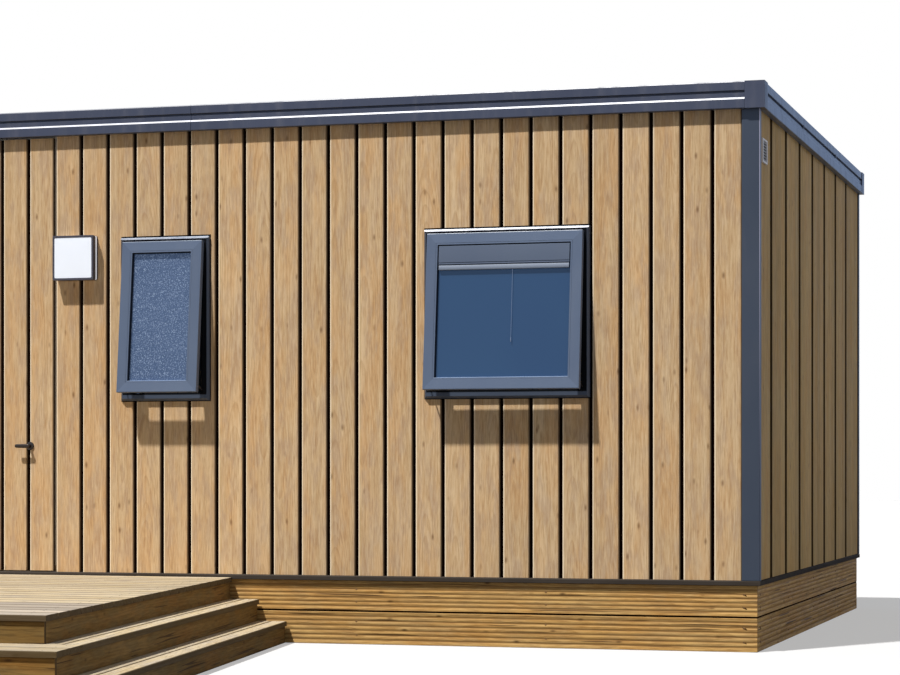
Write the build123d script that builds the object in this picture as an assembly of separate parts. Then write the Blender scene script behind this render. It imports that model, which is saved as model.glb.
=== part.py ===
from build123d import *
import math
import os

os.makedirs("parts", exist_ok=True)

# Timber-clad mobile home with an entrance deck, in millimetres.
# +X runs along the front to the right, +Y to the back, +Z up, and the front faces -Y.
# The origin is on the ground under the middle of the floor.

# Overall sizes
board_pitch = 182          # one wall board and its gap
board_gap = 20             # gap between two wall boards
door_boards = 5            # boards on the door leaf
side_boards = 24           # boards between the door and the first board at a corner
corner_margin = 88         # from a corner to the first board
width = 4470               # front to back over the boards
height = 3300              # ground to the top of the roof edge

# Levels
skirt_gap_z = 195          # top of the lower skirt board
trim_base = 385            # bottom of the sill trim, top of the skirt
trim_h = 30                # the wall boards start on top of the trim
floor_rise = 40            # floor above the foot of the wall boards
fascia_h = 157             # roof edge, down from the top of the part

# Walls, floor and roof
cladding_t = 28            # wall boards with their battens
wall_t = 90                # insulated wall panel
floor_t = 110
roof_t = 105
roof_edge_t = 25           # flange of the fascia on the roof panel
roof_flange_w = 60
post_w = 97                # corner post, leg on a long wall
post_side_w = 35           # leg on an end wall
post_proud = 10
trim_proud = 12
loose_joint = 0.5          # hairline joint between like pieces

# Fascia section, measured out from the wall boards
fascia_t = 40
fascia_lip_z = 61          # top of the lower band, above the fascia's base
fascia_groove_z = 94       # bottom of the groove, above the fascia's base
fascia_groove_h = 10
fascia_band_set = 9        # middle band behind the lower band
fascia_groove_set = 20     # groove floor behind the lower band
fascia_top_set = 3
fascia_cap_w = 75          # corner cap along each wall
fascia_cap_proud = 2

# Ground: skirt, chassis, piers
skirt_board_t = 20
skirt_set = 8              # skirt face behind the wall boards
skirt_gap = 10
skirt_post_w = 45
skirt_post_pitch = 1200
end_post_set = 170         # first skirt post of an end wall, in from the front
rail_h = 120
rail_w = 64
rail_web = 8
rail_flange = 9
rail_y = 1000
rail_end_set = 350         # chassis rail end, in from the end walls
cross_w = 60
pier_w = 300
pier_count = 5

# Windows, the same on the front and the back
window_sill = 1482
window_head = 2494
large_window_w = 1018
small_window_w = 590
large_window_inset = 1002  # from a corner to the frame
small_window_offset = 458  # from the door leaf to the frame
window_bar = 46            # fixed frame bar
window_proud = 25
sash_side_set = 30
sash_head_set = 32
sash_foot_set = 42
sash_t = 35
sash_bar = 75
sash_open = 5.6            # degrees, hung at the top
glass_t = 8
glass_set = 24             # glass face behind the sash face
cassette_h = 146
cassette_set = 4           # cassette face behind the sash face
stay_w = 14
stay_t = 4
stay_inset = 9             # stay, in from the side of the sash
stay_foot = 55             # stay on the fixed frame, above its foot
stay_reach = 40            # stay end, up from the foot of the sash

# Door
opening_set = 15           # wall opening, in from the edge of the leaf
door_frame_t = 30
door_frame_drop = 63       # top of the door frame, down from the roof edge
threshold_h = 15
leaf_gap_side = 12
leaf_gap_foot = 8
leaf_gap_head = 10
skin_t = 22
core_t = 50
skin_foot_gap = 7          # leaf boards above the sill trim
skin_head_gap = 8          # leaf boards below the roof edge
hinge_end_set = 278        # outer hinges, in from the ends of the leaf boards
hinge_axis_out = 6
knuckle_r = 6
hinge_pin_r = 3.5
hinge_bore_r = 3.8
hinge_h = 90
hinge_mid_h = 28
hinge_slip = 1             # play between knuckles
strap_l = 100
strap_t = 4
strap_set = 8              # strap plate, in from the pin's centre

# Lever handle
handle_inset = 170         # from the edge of the leaf to the spindle
handle_z = 1204
spindle_r = 5
spindle_bore_r = 6
neck_r = 9
neck_bore_r = 9.6
rose_r = 26
rose_t = 9
lever_l = 85
lever_h = 26
lever_t = 12
lever_reach = 48           # lever face, out from the door face
neck_slip = 1              # neck end clear of the door face

# Lamp and wall vents
lamp_offset = 156          # from the door leaf to the lamp's centre
lamp_z = 2375
lamp_size = 278
lamp_d = 70
lamp_plate_t = 12
lamp_slot_t = 22
lamp_slot_set = 3
lamp_plate_set = 2
diffuser_size = 252
diffuser_d = 32
vent_w = 155
vent_h = 142
vent_t = 10
vent_border = 14
vent_pocket = 4
vent_drop = 155            # top of the vent, down from the roof edge
vent_from_corner = 101

# Deck and its two steps
deck_w = 3300              # along the wall
deck_d = 3700
deck_flare = 9.4           # degrees, each side opens out from the wall
deck_drop = 20             # deck below the foot of the wall boards
deck_board_t = 28
side_tread = 180
front_tread = 380
nosing = 12
riser_t = 28
joist_count = 7
joist_w = 45
joist_h = 120
deck_post_w = 90
deck_post_rows = 3

# Worked out from the sizes above
door_w = door_boards * board_pitch
door_half = door_w / 2
length = 2 * (corner_margin + side_boards * board_pitch) + door_w
half_length = length / 2
half_width = width / 2
wall_base = trim_base + trim_h
floor_top = wall_base + floor_rise
fascia_base = height - fascia_h
roof_top = height - roof_edge_t
roof_base = roof_top - roof_t
door_frame_head = fascia_base - door_frame_drop
skin_base = wall_base + skin_foot_gap
skin_head = fascia_base - skin_head_gap
hinge_foot = skin_base + hinge_end_set
hinge_top = skin_head - hinge_end_set
hinge_levels = (hinge_foot, (hinge_foot + hinge_top) / 2, hinge_top)
vent_top = fascia_base - vent_drop
deck_top = wall_base - deck_drop
panel_face = -cladding_t
panel_back = -cladding_t - wall_t
opening_half = door_half - opening_set
frame_half = opening_half - door_frame_t
large_x = half_length - large_window_inset - large_window_w / 2
small_x = door_half + small_window_offset + small_window_w / 2
handle_x = door_half - handle_inset
hinge_x = -door_half
step_rise = deck_top / 3

nodes = {}


def keep(name, *solids):
    """Store one named node made of solids that don't touch."""
    nodes[name] = Compound(children=[s for piece in solids for s in piece.solids()])


def block(x0, x1, u0, u1, z0, z1):
    """A box on a wall that faces -Y: x along it, u out from its boards, z up."""
    box = Box(x1 - x0, u1 - u0, z1 - z0)
    return Pos((x0 + x1) / 2, -(u0 + u1) / 2, (z0 + z1) / 2) * box


def plate(points, x, thickness):
    """A plate across the wall from (u, z) points, centred on x."""
    outline = [(-u, z) for u, z in points]
    face = make_face(Plane.YZ * Polyline(*outline, close=True))
    return Pos(x - thickness / 2, 0, 0) * extrude(face, amount=thickness, dir=(1, 0, 0))


def rod(x, z, u0, u1, radius):
    """A round bar that stands straight out of the wall."""
    bar = Rot(90, 0, 0) * Cylinder(radius, u1 - u0)
    return Pos(x, -(u0 + u1) / 2, z) * bar


def on_front(shape):
    return Pos(0, -half_width, 0) * shape


def on_back(shape):
    return Pos(0, half_width, 0) * Rot(0, 0, 180) * shape


def on_right(shape):
    return Pos(half_length, 0, 0) * Rot(0, 0, 90) * shape


def on_left(shape):
    return Pos(-half_length, 0, 0) * Rot(0, 0, -90) * shape


def spread(count, reach):
    """Places from -reach to reach, evenly spaced."""
    return [-reach + 2 * reach * i / (count - 1) for i in range(count)]


# Windows

def window_holes(shape, places):
    """Cut the fixed frames' outlines through a wall piece."""
    for x, w in places:
        shape -= block(x - w / 2, x + w / 2, 2 * panel_back, fascia_t, window_sill, window_head)
    return shape


def window_frame(x, w):
    """Four bars that line the hole and stand proud of the boards."""
    outer = block(x - w / 2, x + w / 2, panel_back, window_proud, window_sill, window_head)
    inner_half = w / 2 - window_bar
    inner = block(x - inner_half, x + inner_half, 2 * panel_back, 2 * window_proud,
                  window_sill + window_bar, window_head - window_bar)
    return outer - inner


def hang(shape):
    """Swing a closed sash out about its top back edge."""
    hinge = Pos(0, -window_proud, window_head - sash_head_set)
    return hinge * Rot(-sash_open, 0, 0) * shape


def sash_size(w):
    return w - 2 * sash_side_set, window_head - window_sill - sash_head_set - sash_foot_set


def sash_frame(x, w):
    """The opening frame, rebated at the front for the glass."""
    sash_w, sash_h = sash_size(w)
    outer = block(x - sash_w / 2, x + sash_w / 2, 0, sash_t, -sash_h, 0)
    light_half = sash_w / 2 - sash_bar
    light = block(x - light_half, x + light_half, -sash_t, 2 * sash_t, sash_bar - sash_h, -sash_bar)
    return hang(outer - light)


def sash_glass(x, w):
    sash_w, sash_h = sash_size(w)
    light_half = sash_w / 2 - sash_bar
    face = sash_t - glass_set
    return hang(block(x - light_half, x + light_half, face - glass_t, face, sash_bar - sash_h, -sash_bar))


def blind_cassette(x, w):
    """Roller box across the top of the light, in front of the glass."""
    sash_w = sash_size(w)[0]
    light_half = sash_w / 2 - sash_bar
    face = sash_t - cassette_set
    return hang(block(x - light_half, x + light_half, sash_t - glass_set, face,
                      -sash_bar - cassette_h, -sash_bar))


def window_stays(x, w):
    """Two flat bars from the fixed frame to the back of the open sash."""
    sash_w, sash_h = sash_size(w)
    lean = math.radians(sash_open)
    reach = sash_h - stay_reach
    hinge_z = window_head - sash_head_set
    end_low = (window_proud + reach * math.sin(lean), hinge_z - reach * math.cos(lean))
    end_high = (end_low[0] - stay_w * math.sin(lean), end_low[1] + stay_w * math.cos(lean))
    start_low = (window_proud, window_sill + stay_foot)
    start_high = (window_proud, window_sill + stay_foot + stay_w)
    places = (x - sash_w / 2 + stay_inset, x + sash_w / 2 - stay_inset)
    return [plate([start_low, end_low, end_high, start_high], place, stay_t) for place in places]


large_places = [(-large_x, large_window_w), (large_x, large_window_w)]
small_places = [(-small_x, small_window_w), (small_x, small_window_w)]
all_places = large_places + small_places


def both_walls(make, places):
    """The same window pieces on the front and the back."""
    pieces = []
    for x, w in places:
        made = make(x, w)
        for piece in made if isinstance(made, list) else [made]:
            pieces += [on_front(piece), on_back(piece)]
    return pieces


keep("large_window_frames", *both_walls(window_frame, large_places))
keep("small_window_frames", *both_walls(window_frame, small_places))
keep("large_window_sashes", *both_walls(sash_frame, large_places))
keep("small_window_sashes", *both_walls(sash_frame, small_places))
keep("large_window_glass", *both_walls(sash_glass, large_places))
keep("small_window_glass", *both_walls(sash_glass, small_places))
keep("blind_cassettes", *both_walls(blind_cassette, large_places))
keep("window_stays", *both_walls(window_stays, all_places))


# Walls

panel_half_l = half_length - cladding_t
panel_half_w = half_width - cladding_t
post_line_l = half_length - post_w
post_line_w = half_width - post_side_w
end_panel_half = panel_half_w - wall_t
board_edge = door_half + board_gap / 2

front_panel = block(opening_half, panel_half_l, panel_back, panel_face, floor_top, roof_base)
front_panel = window_holes(front_panel, all_places)
keep("front_wall_right", on_front(front_panel))
keep("front_wall_left", on_front(mirror(front_panel, about=Plane.YZ)))
keep("front_wall_head", on_front(block(-opening_half, opening_half, panel_back, panel_face,
                                       door_frame_head, roof_base)))
back_panel = block(-panel_half_l, panel_half_l, panel_back, panel_face, floor_top, roof_base)
keep("back_wall", on_back(window_holes(back_panel, all_places)))
end_panel = block(-end_panel_half, end_panel_half, panel_back, panel_face, floor_top, roof_base)
keep("right_end_wall", on_right(end_panel))
keep("left_end_wall", on_left(end_panel))

front_boards = block(board_edge, post_line_l, panel_face, 0, wall_base, roof_base)
front_boards = window_holes(front_boards, all_places)
keep("front_cladding_right", on_front(front_boards))
keep("front_cladding_left", on_front(mirror(front_boards, about=Plane.YZ)))
back_boards = block(-post_line_l, post_line_l, panel_face, 0, wall_base, roof_base)
keep("back_cladding", on_back(window_holes(back_boards, all_places)))
end_boards = block(-post_line_w, post_line_w, panel_face, 0, wall_base, roof_base)
keep("end_cladding", on_right(end_boards), on_left(end_boards))


def corner(sx, sy, leg_l, leg_w, reach_out, core_set, z0, z1, core_top):
    """An angle piece round one corner of the walls, solid above core_top."""
    low_x, high_x = half_length - leg_l, half_length + reach_out
    low_y, high_y = half_width - leg_w, half_width + reach_out
    whole = Box(high_x - low_x, high_y - low_y, z1 - z0)
    whole = Pos((low_x + high_x) / 2, (low_y + high_y) / 2, (z0 + z1) / 2) * whole
    core_x, core_y = half_length - core_set, half_width - core_set
    core = Box(2 * leg_l, 2 * leg_w, core_top - z0)
    core = Pos(core_x - leg_l, core_y - leg_w, (z0 + core_top) / 2) * core
    angle = whole - core
    if sx < 0:
        angle = mirror(angle, about=Plane.YZ)
    if sy < 0:
        angle = mirror(angle, about=Plane.XZ)
    return angle


corners = [(sx, sy) for sx in (-1, 1) for sy in (-1, 1)]
keep("corner_posts", *[corner(sx, sy, post_w, post_side_w, post_proud, cladding_t, wall_base, fascia_base,
                              fascia_base) for sx, sy in corners])

trim_half_l = half_length + trim_proud
long_trim = block(-trim_half_l, trim_half_l, panel_face, trim_proud, trim_base, wall_base)
trim_half_w = half_width + panel_face - loose_joint
end_trim = block(-trim_half_w, trim_half_w, panel_face, trim_proud, trim_base, wall_base)
keep("sill_trim", on_front(long_trim), on_back(long_trim), on_right(end_trim), on_left(end_trim))


# Floor, roof and their edges

floor = Box(2 * panel_half_l, 2 * panel_half_w, floor_t)
keep("floor_panel", Pos(0, 0, floor_top - floor_t / 2) * floor)
roof = Box(length, width, roof_top - roof_base)
keep("roof_panel", Pos(0, 0, (roof_base + roof_top) / 2) * roof)


def fascia(half_run):
    """Roof edge trim: lower band with a lip, middle band, groove, top band and flange."""
    lip = fascia_base + fascia_lip_z
    groove = fascia_base + fascia_groove_z
    groove_top = groove + fascia_groove_h
    band = fascia_t - fascia_band_set
    deep = fascia_t - fascia_groove_set
    top = fascia_t - fascia_top_set
    section = [
        (0, fascia_base), (fascia_t, fascia_base), (fascia_t, lip), (band, lip), (band, groove),
        (deep, groove), (deep, groove_top), (top, groove_top), (top, height),
        (-roof_flange_w, height), (-roof_flange_w, roof_top), (0, roof_top),
    ]
    return plate(section, 0, 2 * half_run)


cap_line_l = half_length - fascia_cap_w
cap_line_w = half_width - fascia_cap_w
keep("fascia_front", on_front(fascia(cap_line_l)))
keep("fascia_back", on_back(fascia(cap_line_l)))
keep("fascia_ends", on_right(fascia(cap_line_w)), on_left(fascia(cap_line_w)))
cap_proud = fascia_t + fascia_cap_proud
keep("fascia_corners", *[corner(sx, sy, fascia_cap_w, fascia_cap_w, cap_proud, 0, fascia_base, height, roof_top)
                         for sx, sy in corners])


# Under the floor

floor_base = floor_top - floor_t
skirt_face = -skirt_set
skirt_back = skirt_face - skirt_board_t
skirt_half_l = half_length - skirt_set
skirt_half_w = half_width - skirt_set - skirt_board_t - loose_joint
skirt_top = trim_base


def skirt(half_run):
    lower = block(-half_run, half_run, skirt_back, skirt_face, 0, skirt_gap_z)
    upper = block(-half_run, half_run, skirt_back, skirt_face, skirt_gap_z + skirt_gap, skirt_top)
    return [lower, upper]


keep("skirt_boards",
     *[on_front(board) for board in skirt(skirt_half_l)], *[on_back(board) for board in skirt(skirt_half_l)],
     *[on_right(board) for board in skirt(skirt_half_w)], *[on_left(board) for board in skirt(skirt_half_w)])


def skirt_posts(half_run, end_set):
    reach = half_run - end_set
    count = 1 + max(1, round(2 * reach / skirt_post_pitch))
    half = skirt_post_w / 2
    return [block(x - half, x + half, skirt_back - skirt_post_w, skirt_back, 0, floor_base)
            for x in spread(count, reach)]


keep("skirt_posts",
     *[on_front(post) for post in skirt_posts(skirt_half_l, skirt_post_w)],
     *[on_back(post) for post in skirt_posts(skirt_half_l, skirt_post_w)],
     *[on_right(post) for post in skirt_posts(half_width, end_post_set)],
     *[on_left(post) for post in skirt_posts(half_width, end_post_set)])

rail_reach = half_length - rail_end_set
rail_base = floor_base - rail_h
rail_section = [
    (-rail_w / 2, rail_base), (rail_w / 2, rail_base), (rail_w / 2, rail_base + rail_flange),
    (rail_web / 2, rail_base + rail_flange), (rail_web / 2, floor_base - rail_flange),
    (rail_w / 2, floor_base - rail_flange), (rail_w / 2, floor_base), (-rail_w / 2, floor_base),
    (-rail_w / 2, floor_base - rail_flange), (-rail_web / 2, floor_base - rail_flange),
    (-rail_web / 2, rail_base + rail_flange), (-rail_w / 2, rail_base + rail_flange),
]
rail = plate(rail_section, 0, 2 * rail_reach)
cross_l = 2 * rail_y - rail_w - 2 * loose_joint
crosses = [Pos(x, 0, floor_base - rail_h / 2) * Box(cross_w, cross_l, rail_h)
           for x in spread(3, rail_reach - cross_w)]
keep("chassis", Pos(0, -rail_y, 0) * rail, Pos(0, rail_y, 0) * rail, *crosses)

pier = Pos(0, 0, rail_base / 2) * Box(pier_w, pier_w, rail_base)
keep("support_piers", pier, *[Pos(x, y, 0) * pier for x in spread(pier_count, rail_reach - pier_w)
                              for y in (-rail_y, rail_y)])


# Door frame and leaf

jambs = [block(-opening_half, -frame_half, panel_back, panel_face, floor_top, door_frame_head),
         block(frame_half, opening_half, panel_back, panel_face, floor_top, door_frame_head)]
inner_half = frame_half - loose_joint
door_head = block(-inner_half, inner_half, panel_back, panel_face,
                  door_frame_head - door_frame_t, door_frame_head)
threshold = block(-inner_half, inner_half, panel_back, panel_face, floor_top, floor_top + threshold_h)
keep("door_frame", *[on_front(bar) for bar in jambs + [door_head, threshold]])

spindle_hole = rod(handle_x, handle_z, 2 * panel_back, lever_reach, spindle_bore_r)
core_half = frame_half - leaf_gap_side
core_base = floor_top + threshold_h + leaf_gap_foot
core_top = door_frame_head - door_frame_t - leaf_gap_head
core_back = -skin_t - core_t
leaf_core = block(-core_half, core_half, core_back, -skin_t, core_base, core_top)
keep("door_core", on_front(leaf_core - spindle_hole))
skin_half = door_half - board_gap / 2
leaf_skin = block(-skin_half, skin_half, -skin_t, 0, skin_base, skin_head)
keep("door_cladding", on_front(leaf_skin - spindle_hole))


def upright(z0, z1, radius):
    """A length of round bar on the hinge line."""
    return Pos(hinge_x, -hinge_axis_out, (z0 + z1) / 2) * Cylinder(radius, z1 - z0)


def fixed_hinge(z):
    """Strap on the wall with the outer knuckles and the pin."""
    half = hinge_h / 2
    inner = hinge_mid_h / 2 + hinge_slip
    side = block(hinge_x - strap_l, hinge_x - strap_set, 0, strap_t, z - half, z + half)
    for low, high in ((z - half, z - inner), (z + inner, z + half)):
        side += block(hinge_x - strap_set, hinge_x, 0, strap_t, low, high)
        side += upright(low, high, knuckle_r)
    return side + upright(z - half, z + half, hinge_pin_r)


def leaf_hinge(z):
    """Strap on the leaf with the middle knuckle round the pin."""
    half = hinge_h / 2
    mid = hinge_mid_h / 2
    side = block(hinge_x + strap_set, hinge_x + strap_l, 0, strap_t, z - half, z + half)
    side += block(hinge_x, hinge_x + strap_set, 0, strap_t, z - mid, z + mid)
    side += upright(z - mid, z + mid, knuckle_r)
    return side - upright(z - half, z + half, hinge_bore_r)


keep("wall_hinges", *[on_front(fixed_hinge(z)) for z in hinge_levels])
keep("door_hinges", *[on_front(leaf_hinge(z)) for z in hinge_levels])


# Lever handle

def rose(face, sign):
    """Round plate on one face of the leaf, bored for the lever's neck."""
    ring = rod(handle_x, handle_z, min(face, face + sign * rose_t), max(face, face + sign * rose_t), rose_r)
    return ring - rod(handle_x, handle_z, 2 * panel_back, lever_reach, neck_bore_r)


def lever(face, sign):
    """Neck and lever bar on one face, pointing to the hinge side."""
    near, far = face + sign * neck_slip, face + sign * lever_reach
    neck = rod(handle_x, handle_z, min(near, far), max(near, far), neck_r)
    inner = far - sign * lever_t
    bar = block(handle_x - lever_l, handle_x + lever_h / 2, min(inner, far), max(inner, far),
                handle_z - lever_h / 2, handle_z + lever_h / 2)
    return neck + fillet(bar.edges().filter_by(Axis.Y), lever_h * 0.45)


keep("handle_roses", on_front(rose(0, 1)), on_front(rose(core_back, -1)))
spindle = rod(handle_x, handle_z, core_back - 2 * neck_slip, 2 * neck_slip, spindle_r)
keep("lever_handle", on_front(spindle + lever(0, 1) + lever(core_back, -1)))


# Lamp and wall vents

def square_block(x, z, size, u0, u1):
    half = size / 2
    return block(x - half, x + half, u0, u1, z - half, z + half)


lamp_x = door_half + lamp_offset
plate_out = lamp_plate_t + lamp_slot_t
lamp = square_block(lamp_x, lamp_z, lamp_size - 2 * lamp_plate_set, 0, lamp_plate_t)
lamp += square_block(lamp_x, lamp_z, lamp_size - 2 * lamp_slot_set, lamp_plate_t, plate_out)
lamp += square_block(lamp_x, lamp_z, lamp_size, plate_out, lamp_d)
diffuser = square_block(lamp_x, lamp_z, diffuser_size, lamp_d - diffuser_d, lamp_d)
keep("lamp_housing", on_front(lamp - diffuser))
keep("lamp_diffuser", on_front(diffuser))


def wall_vent(sign):
    """Flat cover with a raised border, beside the front corner of an end wall."""
    middle = sign * (half_width - vent_from_corner - vent_w / 2)
    half = vent_w / 2
    cover = block(middle - half, middle + half, 0, vent_t, vent_top - vent_h, vent_top)
    inset = half - vent_border
    pocket = block(middle - inset, middle + inset, vent_t - vent_pocket, 2 * vent_t,
                   vent_top - vent_h + vent_border, vent_top - vent_border)
    return cover - pocket


keep("end_wall_vents", on_right(wall_vent(-1)), on_left(wall_vent(1)))


# Deck and steps, against the sill trim

deck_back = trim_proud
deck_front = deck_back + deck_d
deck_half = deck_w / 2
deck_base = deck_top - deck_board_t
flare = math.tan(math.radians(deck_flare))


def wide(half, u):
    """Half the width of a level at u, when it is half wide at its back."""
    return half + (u - deck_back) * flare


def flat(points, z0, z1):
    """A flat piece from (x, u) points in plan."""
    face = make_face(Polyline(*[(x, -u) for x, u in points], close=True))
    return Pos(0, 0, z0) * extrude(face, amount=z1 - z0, dir=(0, 0, 1))


def across(half, u0, u1, z0, z1):
    """A run from flared side to flared side."""
    near, far = wide(half, u0), wide(half, u1)
    return flat([(-near, u0), (near, u0), (far, u1), (-far, u1)], z0, z1)


def along(low, high, u1, z0, z1):
    """A run beside the right flared side, from the back to u1."""
    return flat([(low, deck_back), (high, deck_back), (wide(high, u1), u1), (wide(low, u1), u1)], z0, z1)


def both_sides(shape):
    return [shape, mirror(shape, about=Plane.YZ)]


def ring_of_runs(inner_half, inner_front, outer_half, outer_front, z0, z1):
    """Front, right and left runs of one level, ending on loose joints at the corners."""
    side = along(inner_half, outer_half, inner_front - loose_joint, z0, z1)
    return [across(outer_half, inner_front, outer_front, z0, z1)] + both_sides(side)


keep("deck_boards", on_front(across(deck_half, deck_back, deck_front, deck_base, deck_top)))
fascia_half = deck_half - nosing
fascia_front_line = deck_front - nosing
edge_runs = ring_of_runs(fascia_half - riser_t, fascia_front_line - riser_t, fascia_half, fascia_front_line,
                         0, deck_base)
keep("deck_edges", *[on_front(run) for run in edge_runs])


joist_front = fascia_front_line - riser_t - loose_joint
joist_base = deck_base - joist_h
joist_half = fascia_half - riser_t - loose_joint - deck_post_w / 2 * (1 + flare)
post_middle = (deck_back + joist_front) / 2
post_reach = (joist_front - deck_back - deck_post_w) / 2


def deck_joist(share):
    """A joist that fans out with the sides; share is its place, from -1 at the left to 1."""
    back_x, front_x = share * joist_half, share * wide(joist_half, joist_front)
    half = joist_w / 2
    outline = [(back_x - half, deck_back), (back_x + half, deck_back),
               (front_x + half, joist_front), (front_x - half, joist_front)]
    return flat(outline, joist_base, deck_base)


def deck_post(share, u):
    x = share * wide(joist_half, u)
    half = deck_post_w / 2
    return block(x - half, x + half, u - half, u + half, 0, joist_base)


joist_places = spread(joist_count, 1)
keep("deck_joists", *[on_front(deck_joist(share)) for share in joist_places])
keep("deck_posts", *[on_front(deck_post(share, post_middle + u)) for share in joist_places
                     for u in spread(deck_post_rows, post_reach)])


def step_runs(level):
    """Tread with its riser down to the ground, round three sides of the deck."""
    back_half = fascia_half + (level - 1) * side_tread
    back_front = fascia_front_line + (level - 1) * front_tread
    top = deck_top - level * step_rise
    under = top - deck_board_t
    riser_half = back_half + side_tread
    riser_front = back_front + front_tread
    treads = ring_of_runs(back_half, back_front, riser_half + nosing, riser_front + nosing, under, top)
    side = along(riser_half - riser_t, riser_half, back_front - loose_joint, 0, under)
    front = across(riser_half, back_front, riser_front, 0, under)
    front -= across(riser_half - riser_t, back_front - nosing, riser_front - riser_t, 0, under)
    return [on_front(tread + stand) for tread, stand in zip(treads, [front] + both_sides(side))]


keep("middle_step", *step_runs(1))
keep("lower_step", *step_runs(2))

for name, shape in nodes.items():
    export_step(shape, f"parts/{name}.step")
print(len(nodes), "nodes,", "length", length, "width", width, "height", height)
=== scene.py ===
import math

import bmesh
import bpy
import numpy as np
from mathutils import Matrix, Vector


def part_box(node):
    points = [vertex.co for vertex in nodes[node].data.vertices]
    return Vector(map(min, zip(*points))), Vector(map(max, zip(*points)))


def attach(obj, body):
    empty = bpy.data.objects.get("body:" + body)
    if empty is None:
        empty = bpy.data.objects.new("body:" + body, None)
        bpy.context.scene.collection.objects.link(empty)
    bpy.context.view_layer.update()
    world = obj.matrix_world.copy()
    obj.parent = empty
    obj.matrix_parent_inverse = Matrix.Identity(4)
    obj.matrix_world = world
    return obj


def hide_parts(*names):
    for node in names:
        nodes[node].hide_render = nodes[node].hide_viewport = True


# The looks of a timber-clad mobile home with an entrance deck, in metres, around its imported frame.
# +X runs along the front to the right, the front faces -Y and +Z is up.

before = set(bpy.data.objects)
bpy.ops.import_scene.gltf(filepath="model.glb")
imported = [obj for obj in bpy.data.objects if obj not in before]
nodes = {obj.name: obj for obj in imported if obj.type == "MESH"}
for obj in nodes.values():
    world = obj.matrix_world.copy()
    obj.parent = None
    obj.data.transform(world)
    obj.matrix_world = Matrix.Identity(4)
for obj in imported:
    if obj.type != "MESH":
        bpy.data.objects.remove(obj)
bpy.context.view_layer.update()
draw = np.random.default_rng(11)


def low(node):
    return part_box(node)[0]


def high(node):
    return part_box(node)[1]


# Places taken from the frame
half_length = high("roof_panel").x
half_width = high("roof_panel").y
wall_foot = low("front_cladding_right").z
wall_head = high("front_cladding_right").z
post_line = high("front_cladding_right").x
cladding_t = 0.028
roof_top = high("roof_panel").z
fascia_foot = low("fascia_front").z
fascia_head = high("fascia_front").z
trim_foot = low("sill_trim").z
trim_out = high("sill_trim").x - half_length
skirt_half_l = high("skirt_boards").x
deck_top = high("deck_boards").z
deck_front = -half_width - low("deck_boards").y

# Boards on the walls
pitch = 0.182
gap = 0.020
door_boards = 5
side_boards = 24
door_half = door_boards * pitch / 2
board_t = 0.0225
board_ease = (0.006, 0.005)    # radii of the face edges, left and right
# Painted highlight on each board's sun-facing left edge, painted shade on its right edge.
board_edge_light = (1.0, -0.75)      # pale on the left, dark on the right
membrane_t = 0.0045
end_pitch = 0.555          # wide panels on the end walls
end_first = 0.445          # first joint of an end wall, from its front corner
end_plank = 0.18
end_gap = 0.075            # dark channel between two panels

# Windows
window_foot = low("large_window_frames").z
window_head = high("large_window_frames").z
large_w = 1.018
small_w = 0.590
large_x = high("large_window_frames").x - large_w / 2
small_x = high("small_window_frames").x - small_w / 2
window_proud = 0.025
window_back = -0.118
frame_bar = 0.046
# The seal's black also serves as painted shade.
frame_lip = 0.014          # painted edge of the fixed frame, round a black seal
sealant = 0.005            # open joint between the boards and a frame
sash_side = 0.030
sash_head = 0.032
sash_foot = 0.042
sash_t = 0.035
sash_bar = 0.075
bead_w = 0.0155
sash_open = math.radians(5.6)
glass_set = 0.024
cassette_h = 0.146

# Deck
deck_half = 1.65
deck_back = 0.012
deck_t = 0.028
flare = math.tan(math.radians(9.4))
nosing = 0.012
riser_t = 0.028
side_tread = 0.180
front_tread = 0.380
step_rise = deck_top / 3


# Meshes

def front(x, u, z):
    """From x along the front wall, u out of its boards and z up, to the part's own axes."""
    return np.stack(np.broadcast_arrays(x, -half_width - u, z), -1)


def back(x, u, z):
    return np.stack(np.broadcast_arrays(-x, half_width + u, z), -1)


def right(x, u, z):
    return np.stack(np.broadcast_arrays(half_length + u, x, z), -1)


def left(x, u, z):
    return np.stack(np.broadcast_arrays(-half_length - u, -x, z), -1)


def upright(wall):
    """Boards that stand on a wall: across is x, face is outwards, along is z."""
    return lambda across, face, along: wall(across, face, along)


def level(wall):
    """Boards that lie along a wall: across is z, face is outwards, along is x."""
    return lambda across, face, along: wall(along, face, across)


class Stock:
    """Closed solids of one piece, with the board coordinates that its grain follows."""

    def __init__(self):
        self.points, self.grain, self.pith, self.look, self.faces = [], [], [], [], []
        self.count = 0

    def add(self, points, faces, grain=None, rim=None, board=None):
        points = np.asarray(points, float).reshape(-1, 3)
        size = len(points)
        board = board or plain_board
        look = np.tile([board["seed"], board["tone"], 0.0], (size, 1))
        if rim is not None:
            look[:, 2] = np.asarray(rim, float).ravel()
        self.points.append(points)
        self.grain.append(points if grain is None else np.asarray(grain, float).reshape(-1, 3))
        self.pith.append(np.tile(board["pith"], (size, 1)))
        self.look.append(look)
        self.faces += [[i + self.count for i in face] for face in faces]
        self.count += size

    def piece(self, name, material, slot, *stands_for, body="house", smooth=35):
        """Make the mesh, turn its faces outwards and hand it to the frame, in place of the named nodes."""
        mesh = bpy.data.meshes.new(name)
        mesh.from_pydata(np.concatenate(self.points).tolist(), [], self.faces)
        for label, rows in (("grain", self.grain), ("pith", self.pith), ("look", self.look)):
            attribute = mesh.attributes.new(label, "FLOAT_VECTOR", "POINT")
            attribute.data.foreach_set("vector", np.concatenate(rows).astype(np.float32).ravel())
        turn_outwards(mesh)
        mesh.shade_smooth()
        mesh.set_sharp_from_angle(angle=math.radians(smooth))
        mesh.materials.append(material)
        made = bpy.data.objects.new(name, mesh)
        bpy.context.scene.collection.objects.link(made)
        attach(made, body)
        if stands_for:
            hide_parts(*stands_for)
        return made


plain_board = {"seed": 0.5, "tone": 0.5, "pith": (0.0, 0.1, 0.0)}


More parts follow.
